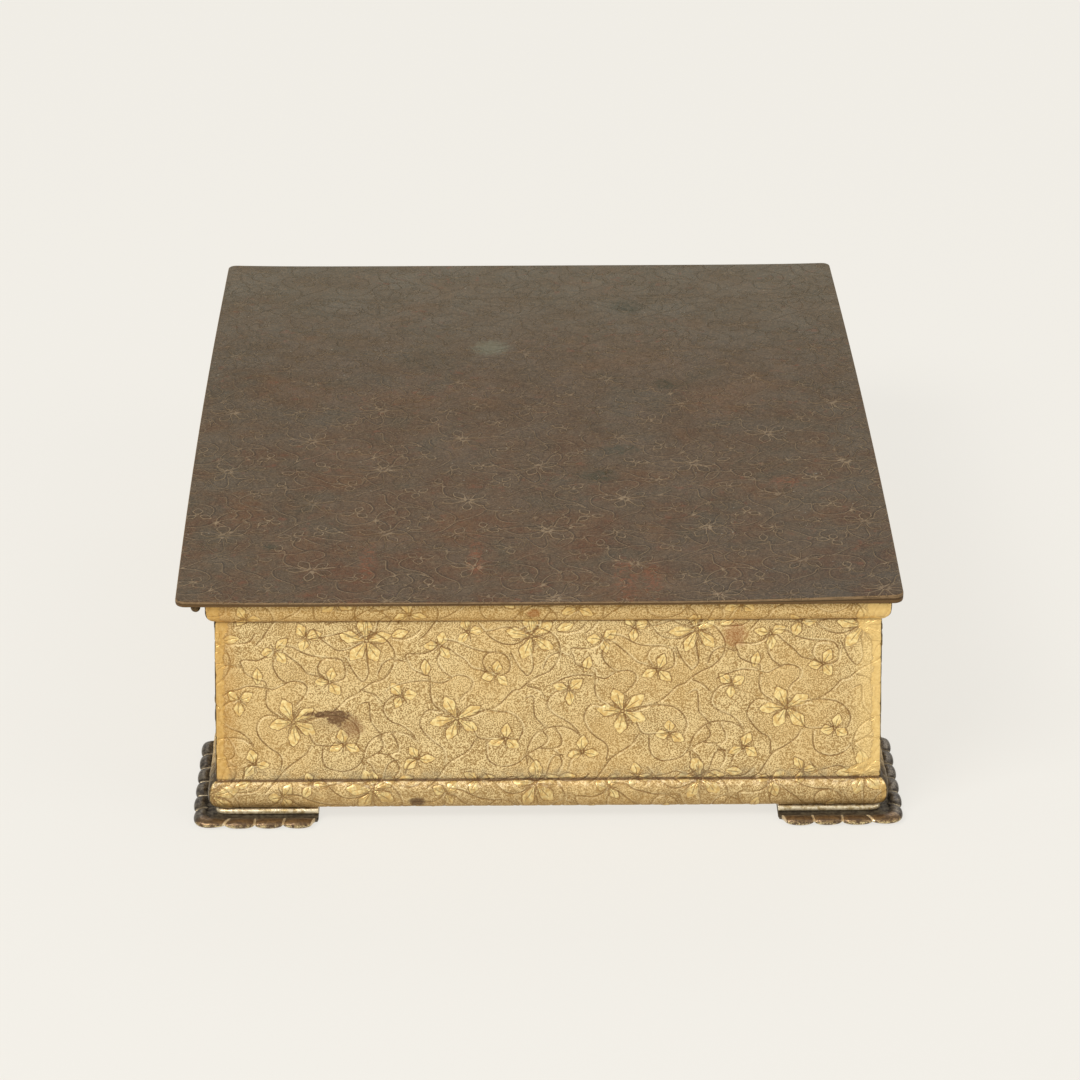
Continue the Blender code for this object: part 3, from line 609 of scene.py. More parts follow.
FOOT_INNER = -6.4
FOOT_BAND_OUT = 1.3
FOOT_LIP_OUT = span("foot_front_right")[1][0] - CENTRE_X - HALF_X
FOOT_PIVOT = FOOT_INNER - 0.1
LOBE_PITCH = 5.85
LOBE_DEPTH = 0.8
LOBE_AXIS = 0.95
LOBE_PINCH = 0.84
LOBE_RADII = (1.25, 0.84)
COVE_DIP = 0.25
BAND_RADIUS = 0.66
END_LOBES = 3
SIDE_LOBES = 5
END_RAKE = 1.2
CORNER_SQUARENESS = 7
CORNERS = {"front_left": (-1, -1), "front_right": (1, -1), "back_left": (-1, 1), "back_right": (1, 1)}


def foot_section():
    """The bracket's section from its inner top edge over band, cove and lobe to its sole, as rows of
    (outward, level, share of the lobes' shape)."""
    top = FOOT_HEIGHT
    band_axis = FOOT_BAND_OUT - BAND_RADIUS
    tread = resample([(FOOT_INNER, top), (band_axis, top)], 1.4)
    band = arc((band_axis, top - BAND_RADIUS), (BAND_RADIUS, BAND_RADIUS), 90, -65, 16)
    lobe_centre = (FOOT_LIP_OUT - LOBE_RADII[0], LOBE_RADII[1])
    lobe = arc(lobe_centre, LOBE_RADII, 158, -90, 26)
    cove = arc(((band_axis + 0.2 + lobe[0, 0]) / 2, lobe[0, 1] + 0.02),
               ((lobe[0, 0] - band_axis - 0.2) / 2, COVE_DIP), 180, 352, 14)
    sole = resample([(lobe_centre[0], 0), (FOOT_INNER, 0)], 1.0)
    path = join_path(tread, band, cove, lobe, sole)
    share = smoothstep(lobe[0, 0] - 0.6, lobe[0, 0] + 0.5, path[:, 0])
    return path[:, 0], path[:, 1], share


def lobe_stations():
    """Distances along the lip from the corner, negative down the side arm, close together at the notches."""
    turn = np.sin(np.linspace(-1, 1, 27) * np.pi / 2)
    corner = np.sin(np.linspace(-1, 1, 61) * np.pi / 2) * LOBE_PITCH
    ahead = [LOBE_PITCH * (k + 1 + (turn[1:] + 1) / 2) for k in range(END_LOBES)]
    aside = [np.sort(-LOBE_PITCH * (k + 1 + (turn[1:] + 1) / 2)) for k in reversed(range(SIDE_LOBES))]
    return np.concatenate([*aside, corner, *ahead])


def build_foot(corner, seed):
    sign_x, sign_y = CORNERS[corner]
    out, level, share = (values[:, None] for values in foot_section())
    e = lobe_stations()[None]
    distance = np.abs(e)
    phase = np.where(distance <= LOBE_PITCH, distance / LOBE_PITCH, 2 * (distance / LOBE_PITCH % 1) - 1)
    phase = np.where(np.isclose(distance % LOBE_PITCH, 0) & (distance > 0.1), 1.0, phase)
    bump = np.sqrt(np.clip(1 - phase**2, 0, 1)) ** 0.8
    squeeze = share * (1 - bump)
    shaped_out = out - LOBE_DEPTH * squeeze
    shaped_level = level + (LOBE_AXIS - level) * LOBE_PINCH * squeeze

    reach = FOOT_LIP_OUT - FOOT_PIVOT
    radius = shaped_out - FOOT_PIVOT
    t = np.clip(1 - distance / reach, 0, 1)
    pull = (t**CORNER_SQUARENESS + 1) ** (-1 / CORNER_SQUARENESS)
    arm = np.where(e > 0, LOBE_PITCH * (END_LOBES + 1), LOBE_PITCH * (SIDE_LOBES + 1))
    rake = END_RAKE * np.clip((out - FOOT_BAND_OUT) / (FOOT_LIP_OUT - FOOT_BAND_OUT), 0, 1)
    beyond = np.clip(distance - reach, 0, None) * (arm - rake - reach) / (arm - reach)
    outward = radius * pull
    sideways = radius * t * pull - beyond
    x = HALF_X + FOOT_PIVOT + np.where(e > 0, sideways, outward)
    y = HALF_Y + FOOT_PIVOT + np.where(e > 0, outward, sideways)
    wobble = 0.03 * waves(x, y, (SEED, 40 + seed), (9, 4)) * share * (level > 0.05)
    place = np.stack(np.broadcast_arrays(CENTRE_X + sign_x * x, sign_y * y, shaped_level + wobble), -1)
    rows, columns = place.shape[:2]
    wide = np.zeros((rows, columns))
    attributes = {"lobe": bump + wide, "out": out + wide, "level": shaped_level + wide,
                  "arm": smoothstep(-3.0, 1.0, e) + wide}
    starts = np.arange(rows) * columns
    return mesh_object("foot_bracket_" + corner, place.reshape(-1, 3),
                       grid_faces(rows, columns, closed_rows=True), attributes,
                       caps=[starts, starts[::-1] + columns - 1])


# ---------------------------------------------------------------- hinge beads

BEAD_SIDES = 40


def build_bead(end):
    """A turned bead on the end of the hinge pin: a small collar and a ball."""
    low, high = span("hinge_ball_" + end)
    centre, radius = (low + high) / 2, (high - low).min() / 2
    collar = np.array([(-radius, 0.42 * radius), (-radius, 0.66 * radius), (-0.82 * radius, 0.74 * radius),
                       (-0.72 * radius, 0.6 * radius)])
    profile = np.vstack([collar, arc((0, 0), (radius, radius), 150, 6, 24)])
    turn = np.linspace(0, 2 * np.pi, BEAD_SIDES + 1)[:-1]
    sign = -1 if end == "front" else 1
    rings = [np.column_stack([centre[0] + r * np.cos(turn), np.full(BEAD_SIDES, centre[1] + sign * a),
                              centre[2] + r * np.sin(turn)]) for a, r in profile]
    rows = len(rings)
    first = np.arange(BEAD_SIDES)
    return mesh_object("hinge_bead_" + end, np.vstack(rings),
                       grid_faces(rows, BEAD_SIDES, closed_columns=True),
                       caps=[first[::-1], (rows - 1) * BEAD_SIDES + first])


# ---------------------------------------------------------------- lining

LINING_CELL = 1.2
LINING_EDGE = 1.3
PAD_CELL = 2.4
PAD_MARGIN = 0.4
PAD_LEVELS = (0.02, 0.35, 0.62)
PAD_SWELL = 1.3
CLOTH_STEPS = 20


def edge_roll(distance, radius):
    """Height share of a soft edge: a quarter round that reaches 1 at the radius."""
    t = np.clip(distance / radius, 0, 1)
    return np.sqrt(np.clip(1 - (1 - t) ** 2, 0, 1))


def slab_axis(half, cell, fine_edge=()):
    edge = half - np.array((0.0, *fine_edge))
    middle = np.linspace(-edge[-1], edge[-1], max(int(2 * edge[-1] / cell), 2))
    return np.concatenate([-edge[:-1], middle, edge[:-1][::-1]])


def build_wall_lining(side):
    """Velvet over card on one wall: soft rounded edges and a slightly uneven nap."""
    low, high = span("lining_" + side)
    outward, along = (np.array((*v, 0)) for v in SIDES[side][:2])
    inward = -outward
    centre, half = (low + high) / 2, (high - low) / 2
    thick = 2 * abs(half @ np.abs(outward))
    length, rise = abs(half @ np.abs(along)), half[2]
    fine = (0.15, 0.4, 0.8, LINING_EDGE)
    a, b = np.meshgrid(slab_axis(length, LINING_CELL, fine), slab_axis(rise, LINING_CELL, fine))
    soft = edge_roll(length - np.abs(a), LINING_EDGE) * edge_roll(rise - np.abs(b), LINING_EDGE)
    nap = 0.12 * waves(a, b, (SEED, 60, len(side)), (24, 9)) - 0.12
    depth = thick * (0.35 + 0.65 * soft) + nap * soft
    back = centre + outward * thick / 2
    top = back + along * a[..., None] + np.array((0, 0, 1)) * b[..., None] + inward * depth[..., None]
    around = outline_loop(*a.shape)
    foot = back + along * a.ravel()[around][:, None] + np.array((0, 0, 1)) * b.ravel()[around][:, None]
    rings = np.vstack([around, a.size + np.arange(len(around))])
    return mesh_object("velvet_" + side, np.vstack([top.reshape(-1, 3), foot]),
                       np.vstack([grid_faces(*a.shape), ring_faces(rings)]), caps=[rings[1][::-1]])


def build_pad(node, name, face):
    """A velvet pad that starts as a thin slab on its board and swells under cloth pressure; face is 1
    where it looks up and -1 where it hangs under the lid."""
    low, high = span(node)
    centre, half = (low + high) / 2, (high - low) / 2
    a, b = np.meshgrid(*(slab_axis(half[k] - PAD_MARGIN, PAD_CELL, (0.9,)) for k in (0, 1)))
    back = centre[2] - face * half[2]
    levels = back + face * 2 * half[2] * np.array(PAD_LEVELS)
    around = outline_loop(*a.shape)
    flat = np.column_stack([a.ravel() + centre[0], b.ravel() + centre[1]])
    board = np.column_stack([flat, np.full(a.size, levels[0])])
    crown = np.column_stack([flat, np.full(a.size, levels[2])])
    middle = np.column_stack([flat[around], np.full(len(around), levels[1])])
    ring = np.vstack([around, 2 * a.size + np.arange(len(around)), a.size + around])
    nxt = np.roll(ring, -1, axis=1)
    sides = np.stack([ring[:-1], nxt[:-1], nxt[1:], ring[1:]], -1).reshape(-1, 4)
    quads = grid_faces(*a.shape)
    made = mesh_object(name, np.vstack([board, crown, middle]),
                       np.vstack([quads[:, ::-1], quads + a.size, sides]))
    pinned = made.vertex_groups.new(name="glued")
    pinned.add(list(range(a.size)), 1.0, "REPLACE")
    swell(made)
    smooth_out(made)
    return made


def swell(made):
    """Inflates a closed pad as cloth, holds its glued face, and keeps the movement small."""
    rest = vertex_array(made)
    cloth = made.modifiers.new("cloth", "CLOTH")
    settings = cloth.settings
    settings.use_pressure = True
    settings.uniform_pressure_force = 4.0
    settings.vertex_group_mass = "glued"
    settings.effector_weights.gravity = 0
    settings.quality = 5
    settings.tension_stiffness = 12
    settings.compression_stiffness = 12
    cloth.collision_settings.use_collision = False
    scene = bpy.context.scene
    for step in range(1, CLOTH_STEPS + 1):
        scene.frame_set(step)
    evaluated = made.evaluated_get(bpy.context.evaluated_depsgraph_get())
    moved = np.zeros(len(rest) * 3, np.float32)
    evaluated.data.vertices.foreach_get("co", moved)
    made.modifiers.remove(cloth)
    shift = moved.reshape(-1, 3).astype(float) - rest
    length = np.linalg.norm(shift, axis=1, keepdims=True)
    limit = PAD_SWELL * MM
    shift *= np.where(length > 0, limit * np.tanh(length / limit) / np.maximum(length, 1e-9), 0)
    made.data.vertices.foreach_set("co", (rest + shift).astype(np.float32).ravel())
    scene.frame_set(1)


def vertex_array(made):
    values = np.zeros(len(made.data.vertices) * 3, np.float32)
    made.data.vertices.foreach_get("co", values)
    return values.reshape(-1, 3).astype(float)


def smooth_out(made):
    """One level of subdivision, applied."""
    modifier = made.modifiers.new("smooth", "SUBSURF")
    modifier.levels = modifier.render_levels = 1
    evaluated = made.evaluated_get(bpy.context.evaluated_depsgraph_get())
    mesh = bpy.data.meshes.new_from_object(evaluated)
    made.modifiers.remove(modifier)
    old = made.data
    made.data = mesh
    bpy.data.meshes.remove(old)
    made.vertex_groups.clear()


# ---------------------------------------------------------------- materials

def rgb(red, green, blue):
    """A colour as seen on a screen, 0 to 255, in the renderer's linear terms."""
    linear = [((c / 255 + 0.055) / 1.055) ** 2.4 if c > 10 else c / 255 / 12.92 for c in (red, green, blue)]
    return (*linear, 1.0)


class Shader:
    """A material's node tree, built with short calls. Its colour is painted on in layers."""

    def __init__(self, name):
        self.material = bpy.data.materials.new(name)
        self.material.use_nodes = True
        self.tree = self.material.node_tree
        self.surface = self.tree.nodes["Principled BSDF"]
        self.colour = None
        place = self.tree.nodes.new("ShaderNodeTexCoord")
        scale = self.tree.nodes.new("ShaderNodeVectorMath")
        scale.operation = "SCALE"
        scale.inputs["Scale"].default_value = 1 / MM
        self.tree.links.new(place.outputs["Object"], scale.inputs[0])
        self.place = scale.outputs[0]

    def plug(self, socket, value):
        if isinstance(value, bpy.types.NodeSocket):
            self.tree.links.new(value, socket)
        else:
            socket.default_value = value

    def attribute(self, name):
        node = self.tree.nodes.new("ShaderNodeAttribute")
        node.attribute_name = name
        return node.outputs["Fac"]

    def math(self, operation, first, *others):
        """One operation over all the values in turn."""
        for other in others or (0.0,):
            node = self.tree.nodes.new("ShaderNodeMath")
            node.operation = operation
            self.plug(node.inputs[0], first)
            self.plug(node.inputs[1], other)
            first = node.outputs[0]
        return first

    def product(self, first, *others):
        return self.math("MULTIPLY", first, *others) if others else first

    def plus(self, *values):
        return self.math("ADD", *values)

    def minus(self, a, b):
        return self.math("SUBTRACT", a, b)

    def step(self, x, low, high, out_low=0.0, out_high=1.0):
        """Goes smoothly from out_low to out_high as x goes from low to high."""
        node = self.tree.nodes.new("ShaderNodeMapRange")
        node.interpolation_type = "SMOOTHSTEP"
        for key, value in (("Value", x), ("From Min", low), ("From Max", high), ("To Min", out_low),
                           ("To Max", out_high)):
            self.plug(node.inputs[key], value)
        return node.outputs[0]

    def near(self, x, centre, outer, inner, peak=1.0):
        """A line where x is near the centre: 0 farther off than outer, and the peak closer than inner."""
        return self.step(self.math("ABSOLUTE", self.minus(x, centre)), outer, inner, 0.0, peak)

    def mix(self, factor, a, b):
        node = self.tree.nodes.new("ShaderNodeMix")
        node.data_type = "RGBA"
        self.plug(node.inputs[0], factor)
        self.plug(node.inputs[6], a)
        self.plug(node.inputs[7], b)
        return node.outputs[2]

    def paint(self, tone, *masks):
        """Lays a tone over the colour so far, as strongly as all the masks together allow."""
        self.colour = self.mix(self.product(*masks), self.colour, tone)

    def noise(self, scale, detail=2.0, roughness=0.5, distortion=0.0, offset=0.0):
        node = self.tree.nodes.new("ShaderNodeTexNoise")
        self.plug(node.inputs["Vector"], self.moved(offset))
        self.plug(node.inputs["Scale"], scale)
        self.plug(node.inputs["Detail"], detail)
        self.plug(node.inputs["Roughness"], roughness)
        self.plug(node.inputs["Distortion"], distortion)
        return node.outputs["Fac"]

    def moved(self, offset):
        if not offset:
            return self.place
        node = self.tree.nodes.new("ShaderNodeVectorMath")
        node.operation = "ADD"
        self.plug(node.inputs[0], self.place)
        node.inputs[1].default_value = (offset, offset * 0.7, offset * 1.3)
        return node.outputs[0]

    def bump(self, height, distance, strength=1.0, normal=None):
        """A bump whose height of 1 stands that many millimetres proud."""
        node = self.tree.nodes.new("ShaderNodeBump")
        self.plug(node.inputs["Strength"], strength)
        self.plug(node.inputs["Distance"], distance * MM)
        self.plug(node.inputs["Height"], height)
        if normal is not None:
            self.plug(node.inputs["Normal"], normal)
        return node.outputs[0]

    def line(self, name, half_width, soft=0.08):
        """A drawn line where the signed distance field crosses zero, without its false crossings."""
        drawn = self.step(self.math("ABSOLUTE", self.attribute(name)), half_width + soft, half_width - soft)
        return self.product(drawn, self.step(self.attribute(name + "_far"), 0.6, 0.4))

    def beside_vine(self, distance):
        """A thin line along one side of the vines, for a painted highlight on the gilt and a painted shade on
        the lid.
        """
        return self.product(self.near(self.attribute("vine"), distance, 0.16, 0.04),
                            self.step(self.attribute("vine_far"), 0.6, 0.45))

    def spot(self, a, b, centre, size, edge=0.35, ragged=0.5):
        """A ragged blot at a place of two fields, 1 inside."""
        squares = [self.math("POWER", self.math("ABSOLUTE", self.math("DIVIDE", self.minus(x, c), s)), 2.0)
                   for x, c, s in zip((a, b), centre, size)]
        wobble = self.product(self.minus(self.noise(1.1, 3.0, 0.6), 0.5), ragged * 2)
        return self.step(self.plus(self.math("SQRT", self.plus(*squares)), wobble), 1 + edge, 1 - edge)

    def set(self, **sockets):
        names = {"metallic": "Metallic", "roughness": "Roughness", "normal": "Normal",
                 "specular": "Specular IOR Level", "sheen": "Sheen Weight",
                 "sheen_roughness": "Sheen Roughness", "sheen_tint": "Sheen Tint"}
        for key, value in sockets.items():
            self.plug(self.surface.inputs[names[key]], value)

    def finish(self, **sockets):
        """The material, with the painted colour and these sockets."""
        self.set(**sockets)
        self.plug(self.surface.inputs["Base Color"], self.colour)
        return self.material


def paint_ground(sh, petal, specks, blotch):
    """The stippled ground, and the petals' smoother and brighter tone."""
    speck = sh.step(sh.minus(specks, sh.step(blotch, 0.3, 0.7, 0.46, 0.53)), 0.06, -0.05)
    sh.colour = sh.mix(speck, rgb(240, 216, 160), rgb(170, 137, 84))
    sh.paint(rgb(216, 176, 106), sh.step(sh.noise(0.07, 3.0, 0.55, offset=11.0), 0.35, 0.68, 0.0, 0.3))
    rubbed = sh.step(sh.noise(1.5, 3.0, 0.6, offset=5.0), 0.38, 0.62)
    sh.paint(sh.mix(rubbed, rgb(254, 230, 162), rgb(226, 188, 116)), petal, 0.95)


def paint_cuts(sh):
    """Petal outlines, veins and vines, cut into the sheet, with a painted highlight along one side of the
    vines.
    """
    petal = sh.attribute("petal")
    outline = sh.product(sh.step(petal, -0.02, 0.10), sh.step(petal, 0.34, 0.16))
    vein = sh.line("vein", 0.08, 0.09)
    vine = sh.line("vine", 0.13, 0.12)
    fade = sh.step(sh.noise(0.35, 2.0, 0.5, offset=40.0), 0.32, 0.62, 0.35, 1.0)
    sh.paint(rgb(134, 94, 44), outline, fade, 0.7)
    sh.paint(rgb(120, 82, 36), vein, 0.72)
    sh.paint(rgb(124, 88, 42), vine, fade, 0.8)
    # Painted highlight: a light line along one side of each vine, as if its edge caught the light.
    sh.paint(rgb(252, 232, 182), sh.beside_vine(0.3), sh.step(fade, 1.0, 0.4, 0.1, 0.6))
    return sh.math("MAXIMUM", vine, vein, outline)


def paint_worn_edges(sh, level):
    """Smooth bands along the upright edges, wider toward the panel's corners, most of all at the right."""
    low_corner = sh.step(level, SEAM_LOW + 4.4, SEAM_LOW + 1.4, 0.0, 4.5)
    high_corner = sh.step(level, SEAM_HIGH - 3.8, SEAM_HIGH - 1.2, 0.0, 2.8)
    one_sided = sh.step(sh.attribute("across"), -10.0, 10.0, 0.25, 1.0)
    on_panel = sh.step(level, SEAM_LOW - 0.4, SEAM_LOW + 0.4, 0.35, 1.0)
    reach = sh.product(sh.plus(2.9, sh.product(one_sided, sh.plus(low_corner, high_corner))), on_panel)
    ragged = sh.product(sh.noise(0.8, 4.0, 0.65, offset=3.0), 2.4)
    inside = sh.minus(reach, sh.plus(sh.attribute("edge"), ragged))
    worn = sh.step(inside, -0.2, 0.1)
    rubbed = sh.step(sh.noise(1.6, 3.0, 0.6, offset=33.0), 0.35, 0.65)
    sh.paint(sh.mix(rubbed, rgb(240, 204, 130), rgb(214, 172, 96)), worn, 0.94)
    sh.paint(rgb(150, 108, 56), sh.near(inside, -0.1, 0.26, 0.1), on_panel, 0.45)
    return worn


def paint_dirt_shade_and_highlights(sh, level):
    """Grime over the base roll and soil on it, painted shade on the roll's underside and on the frieze under
    the lid, a painted highlight along the top of the roll, and dark seams, the upper one also a painted
    shadow under the frieze.
    """
    patchy = sh.step(sh.noise(0.6, 3.0, 0.6, offset=61.0), 0.35, 0.65)
    soil = sh.step(sh.noise(0.9, 4.0, 0.7, offset=71.0), 0.4, 0.62, 0.15, 0.85)
    over_roll = sh.product(sh.step(level, SEAM_LOW + 3.5, SEAM_LOW + 0.2),
                           sh.step(level, SEAM_LOW - 0.2, SEAM_LOW))
    roll_top_highlight = sh.product(sh.step(level, SEAM_LOW - 1.3, SEAM_LOW - 0.55),
                          sh.step(level, SEAM_LOW + 0.05, SEAM_LOW - 0.1))
    sh.paint(rgb(160, 146, 114), over_roll, patchy, 0.6)
    sh.paint(rgb(152, 122, 76), sh.step(level, SEAM_LOW + 0.1, SEAM_LOW - 0.3), soil, 0.6)
    # Painted shade: the roll turns browner toward its underside, which faces down.
    sh.paint(rgb(160, 122, 64), sh.step(level, SEAM_LOW - 1.2, BASE_BOTTOM), 0.45)
    # Painted shade: the frieze is a darker gold where it faces down under the lid.
    sh.paint(rgb(200, 152, 70), sh.step(level, SEAM_HIGH - 0.1, SEAM_HIGH + 0.5), 0.3)
    # Painted highlight: whitish patches along the top of the roll, broken up by the soil.
    sh.paint(rgb(252, 236, 200), roll_top_highlight, sh.step(soil, 0.4, 0.2, 0.0, 0.3))
    sh.paint(rgb(92, 62, 34), sh.near(level, SEAM_LOW + 0.03, 0.2, 0.06), 0.85)
    # A dark seam under the frieze, darkened also as a painted shadow of the frieze's overhang.
    sh.paint(rgb(128, 88, 42), sh.near(level, SEAM_HIGH + 0.05, 0.26, 0.1), 0.7)


def gilt_shader(name):
    """Rolled gilt brass: smooth petals on a stippled ground, dark cut lines, wear and dirt, and painted shade
    and painted highlights.
    """
    sh = Shader(name)
    level = sh.attribute("level")
    petal = sh.step(sh.attribute("petal"), 0.08, -0.02)
    specks = sh.noise(4.3, 1.0, 0.5, distortion=0.4)
    blotch = sh.noise(0.28, 4.0, 0.6, offset=27.0)
    paint_ground(sh, petal, specks, blotch)
    cut = paint_cuts(sh)
    worn = paint_worn_edges(sh, level)
    paint_dirt_shade_and_highlights(sh, level)

    hammered = sh.product(sh.minus(1.0, petal), sh.minus(1.0, worn))
    normal = sh.bump(sh.product(specks, hammered), 0.16, 0.7)
    normal = sh.bump(sh.minus(1.0, cut), 0.09, 0.8, normal)
    roughness = sh.step(sh.plus(hammered, sh.product(blotch, 0.4)), 0.0, 1.4, 0.36, 0.62)
    sh.set(metallic=0.55, roughness=roughness, normal=normal)
    return sh


def side_gilt_material():
    """The side walls' gilding, painted dark brown near both ends."""
    sh = gilt_shader("gilt_sheet_sides")
    sh.paint(rgb(74, 62, 46), sh.step(sh.attribute("edge"), 16.0, 1.0),
             sh.step(sh.noise(0.5, 3.0, 0.6, offset=44.0), 0.3, 0.6, 0.7, 0.97))
    return sh.finish()


def front_gilt_material():
    """The front wall's gilding, with the stains that only it has."""
    sh = gilt_shader("gilt_sheet_front")
    across, level = sh.attribute("across"), sh.attribute("level")
    on_panel = sh.step(level, SEAM_LOW, SEAM_LOW + 1.0)
    sh.paint(rgb(250, 218, 146), sh.step(across, HALF_X - 6.0, HALF_X - 2.0), on_panel, 0.45)
    sh.paint(rgb(196, 148, 74), sh.step(across, 5.0 - HALF_X, 2.0 - HALF_X), on_panel, 0.4)
    sh.paint(rgb(138, 92, 58), sh.spot(across, level, (-36.4, 18.8), (1.9, 2.0), 0.5, 0.9), 0.55)
    streak = sh.spot(across, level, (-40.6, 21.6), (3.7, 0.65), 0.2, 0.9)
    wedge = sh.spot(across, level, (-38.9, 20.9), (1.8, 1.5), 0.2, 0.9)
    eaten = sh.step(sh.noise(2.4, 3.0, 0.6, offset=52.0), 0.3, 0.55, 0.6, 0.95)
    sh.paint(rgb(98, 66, 44), sh.math("MAXIMUM", streak, wedge), eaten)
    for tone, share, place, size, edge, ragged in (
            (rgb(140, 108, 66), 0.3, (-40.0, 20.2), (4.6, 2.0), 0.6, 0.9),
            (rgb(150, 84, 46), 0.5, (34.2, 37.2), (1.9, 2.2), 0.45, 0.8),
            (rgb(88, 60, 36), 0.8, (-24.4, 4.2), (1.5, 0.9), 0.4, 0.6),
            (rgb(158, 92, 34), 0.6, (-2.8, 42.4), (1.2, 0.8), 0.4, 0.8)):
        sh.paint(tone, sh.spot(across, level, place, size, edge, ragged), share)
    return sh.finish()


def paint_patina(sh, across, along, middle, fine, worm):
    """Brown patina in clouds: warmer to the front, cooler at the sides and back, with copper tints, and a
    painted sheen that makes the back lighter and greyer.
    """
    half_x, half_y = (LID_HIGH - LID_LOW)[:2] / 2
    broad = sh.step(sh.noise(0.03, 3.0, 0.55, offset=9.0), 0.3, 0.7)
    sh.colour = sh.mix(broad, rgb(80, 63, 43), rgb(88, 68, 46))
    sh.paint(rgb(102, 62, 40), sh.step(middle, 0.42, 0.7), sh.step(along, 0.45 * half_y, -0.9 * half_y), 0.6)
    patchy = sh.noise(0.06, 4.0, 0.6, distortion=1.0, offset=17.0)
    sh.paint(rgb(64, 62, 46), sh.step(patchy, 0.5, 0.3, 0.0, 0.55))
    sh.paint(rgb(106, 74, 44), sh.step(patchy, 0.52, 0.68, 0.0, 0.5))
    far_side = sh.step(sh.math("ABSOLUTE", across), 0.5 * half_x, half_x)
    far_back = sh.step(along, 0.1 * half_y, half_y)
    cool = sh.math("MAXIMUM", sh.product(far_side, 0.6), sh.product(far_back, 0.8))
    sh.paint(rgb(76, 70, 54), cool, sh.step(middle, 0.66, 0.34))
    sh.paint(rgb(54, 44, 32), sh.step(fine, 0.35, 0.65, 0.0, 0.6))
    # Painted sheen: the back of the lid made lighter and greyer, as if it caught the light behind it.
    sh.paint(rgb(98, 92, 76), far_back, 0.5)
    sh.paint(rgb(62, 54, 46), sh.step(across, 0.1 * half_x, 0.9 * half_x),
             sh.step(along, -0.35 * half_y, -0.95 * half_y), 0.4)
    sh.paint(rgb(122, 102, 76), sh.near(worm, 0.5, 0.05, 0.015, 0.5))
    sh.paint(rgb(115, 67, 44), sh.step(sh.noise(0.35, 4.0, 0.7, offset=77.0), 0.56, 0.70),
             sh.step(sh.noise(0.05, 2.0, 0.5, offset=14.0), 0.42, 0.6), 0.45)


def paint_lid_pattern(sh, along, petal, worm):
    """The pattern in faint lighter lines over slightly darker petals, fainter toward the back, with a painted
    shade along one side of the vines.
    """
    half_y = (LID_HIGH - LID_LOW)[1] / 2
    fade = sh.product(sh.step(sh.noise(0.09, 3.0, 0.6, offset=50.0), 0.34, 0.6, 0.45, 1.0),
                      sh.step(along, 0.8 * half_y, -0.5 * half_y, 0.25, 1.0))
    sh.paint(rgb(62, 50, 34), sh.step(petal, 0.05, -0.25), sh.step(worm, 0.3, 0.7, 0.1, 0.6), fade)
    outline = sh.step(sh.math("ABSOLUTE", petal), 0.16, 0.06)
    drawn = sh.math("MAXIMUM", sh.line("vine", 0.09, 0.1), sh.product(sh.line("vein", 0.05, 0.06), 0.15),
                    sh.product(outline, 0.9))
    sh.paint(rgb(144, 124, 98), drawn, fade, 0.85)
    # Painted shade: a dark line along one side of each vine, the shadow side of the raised line.
    sh.paint(rgb(46, 37, 26), sh.beside_vine(0.32), fade, 0.65)
    return drawn


def paint_lid_patches(sh, across, along):
    """One spot of verdigris, broken dark green patches and coppery streaks, and specks of dust."""
    streaks = sh.noise(0.55, 3.0, 0.6, distortion=2.0, offset=84.0)
    sh.paint(rgb(113, 116, 97), sh.spot(across, along, (-8.8, 38.0), (3.4, 3.6), 0.5, 0.9), 0.45)
    for place, size in (((20.4, 61.5), (3.2, 3.4)), ((12.5, -30.0), (4.0, 2.8)),
                        ((17.0, -17.0), (3.2, 2.4)), ((27.0, 17.0), (2.4, 2.6)),
                        ((-50.0, -63.0), (1.2, 1.4))):
        patch = sh.spot(across, along, place, size, 0.5, 0.9)
        sh.paint(rgb(44, 50, 32), patch, sh.step(streaks, 0.62, 0.42, 0.2, 1.0), 0.55)
    for place, size in (((-31.6, -69.5), (1.6, 7.0)), ((-11.6, -68.5), (1.3, 7.5)),
                        ((16.0, -78.0), (2.0, 9.0)), ((20.8, -78.0), (1.5, 7.0)),
                        ((48.0, -34.0), (2.6, 2.4))):
        smear = sh.spot(across, along, place, size, 0.6, 0.9)
        sh.paint(rgb(134, 74, 44), smear, sh.step(streaks, 0.44, 0.6), 0.42)
    sh.paint(rgb(176, 172, 158), sh.step(sh.noise(1.3, 1.0, 0.4, offset=90.0), 0.78, 0.82), 0.5)


def paint_lid_edge(sh, inset):
    """The rubbed arris, lighter also as a painted highlight on its rounded edge, the brassier edge of the
    sheet below it, and the dark line between them.
    """
    wear = sh.step(sh.noise(0.25, 3.0, 0.6, offset=21.0), 0.25, 0.6, 0.45, 1.0)
    # The arris: rubbed brass, and also a painted highlight along the rounded edge.
    sh.paint(rgb(132, 108, 78), sh.step(inset, 0.18, 0.06), sh.step(inset, -0.24, -0.1), wear)
    sh.paint(rgb(110, 84, 52), sh.step(inset, -0.12, -0.3), 0.8)
    sh.paint(rgb(58, 44, 28), sh.near(inset, -0.3, 0.14, 0.04), 0.6)


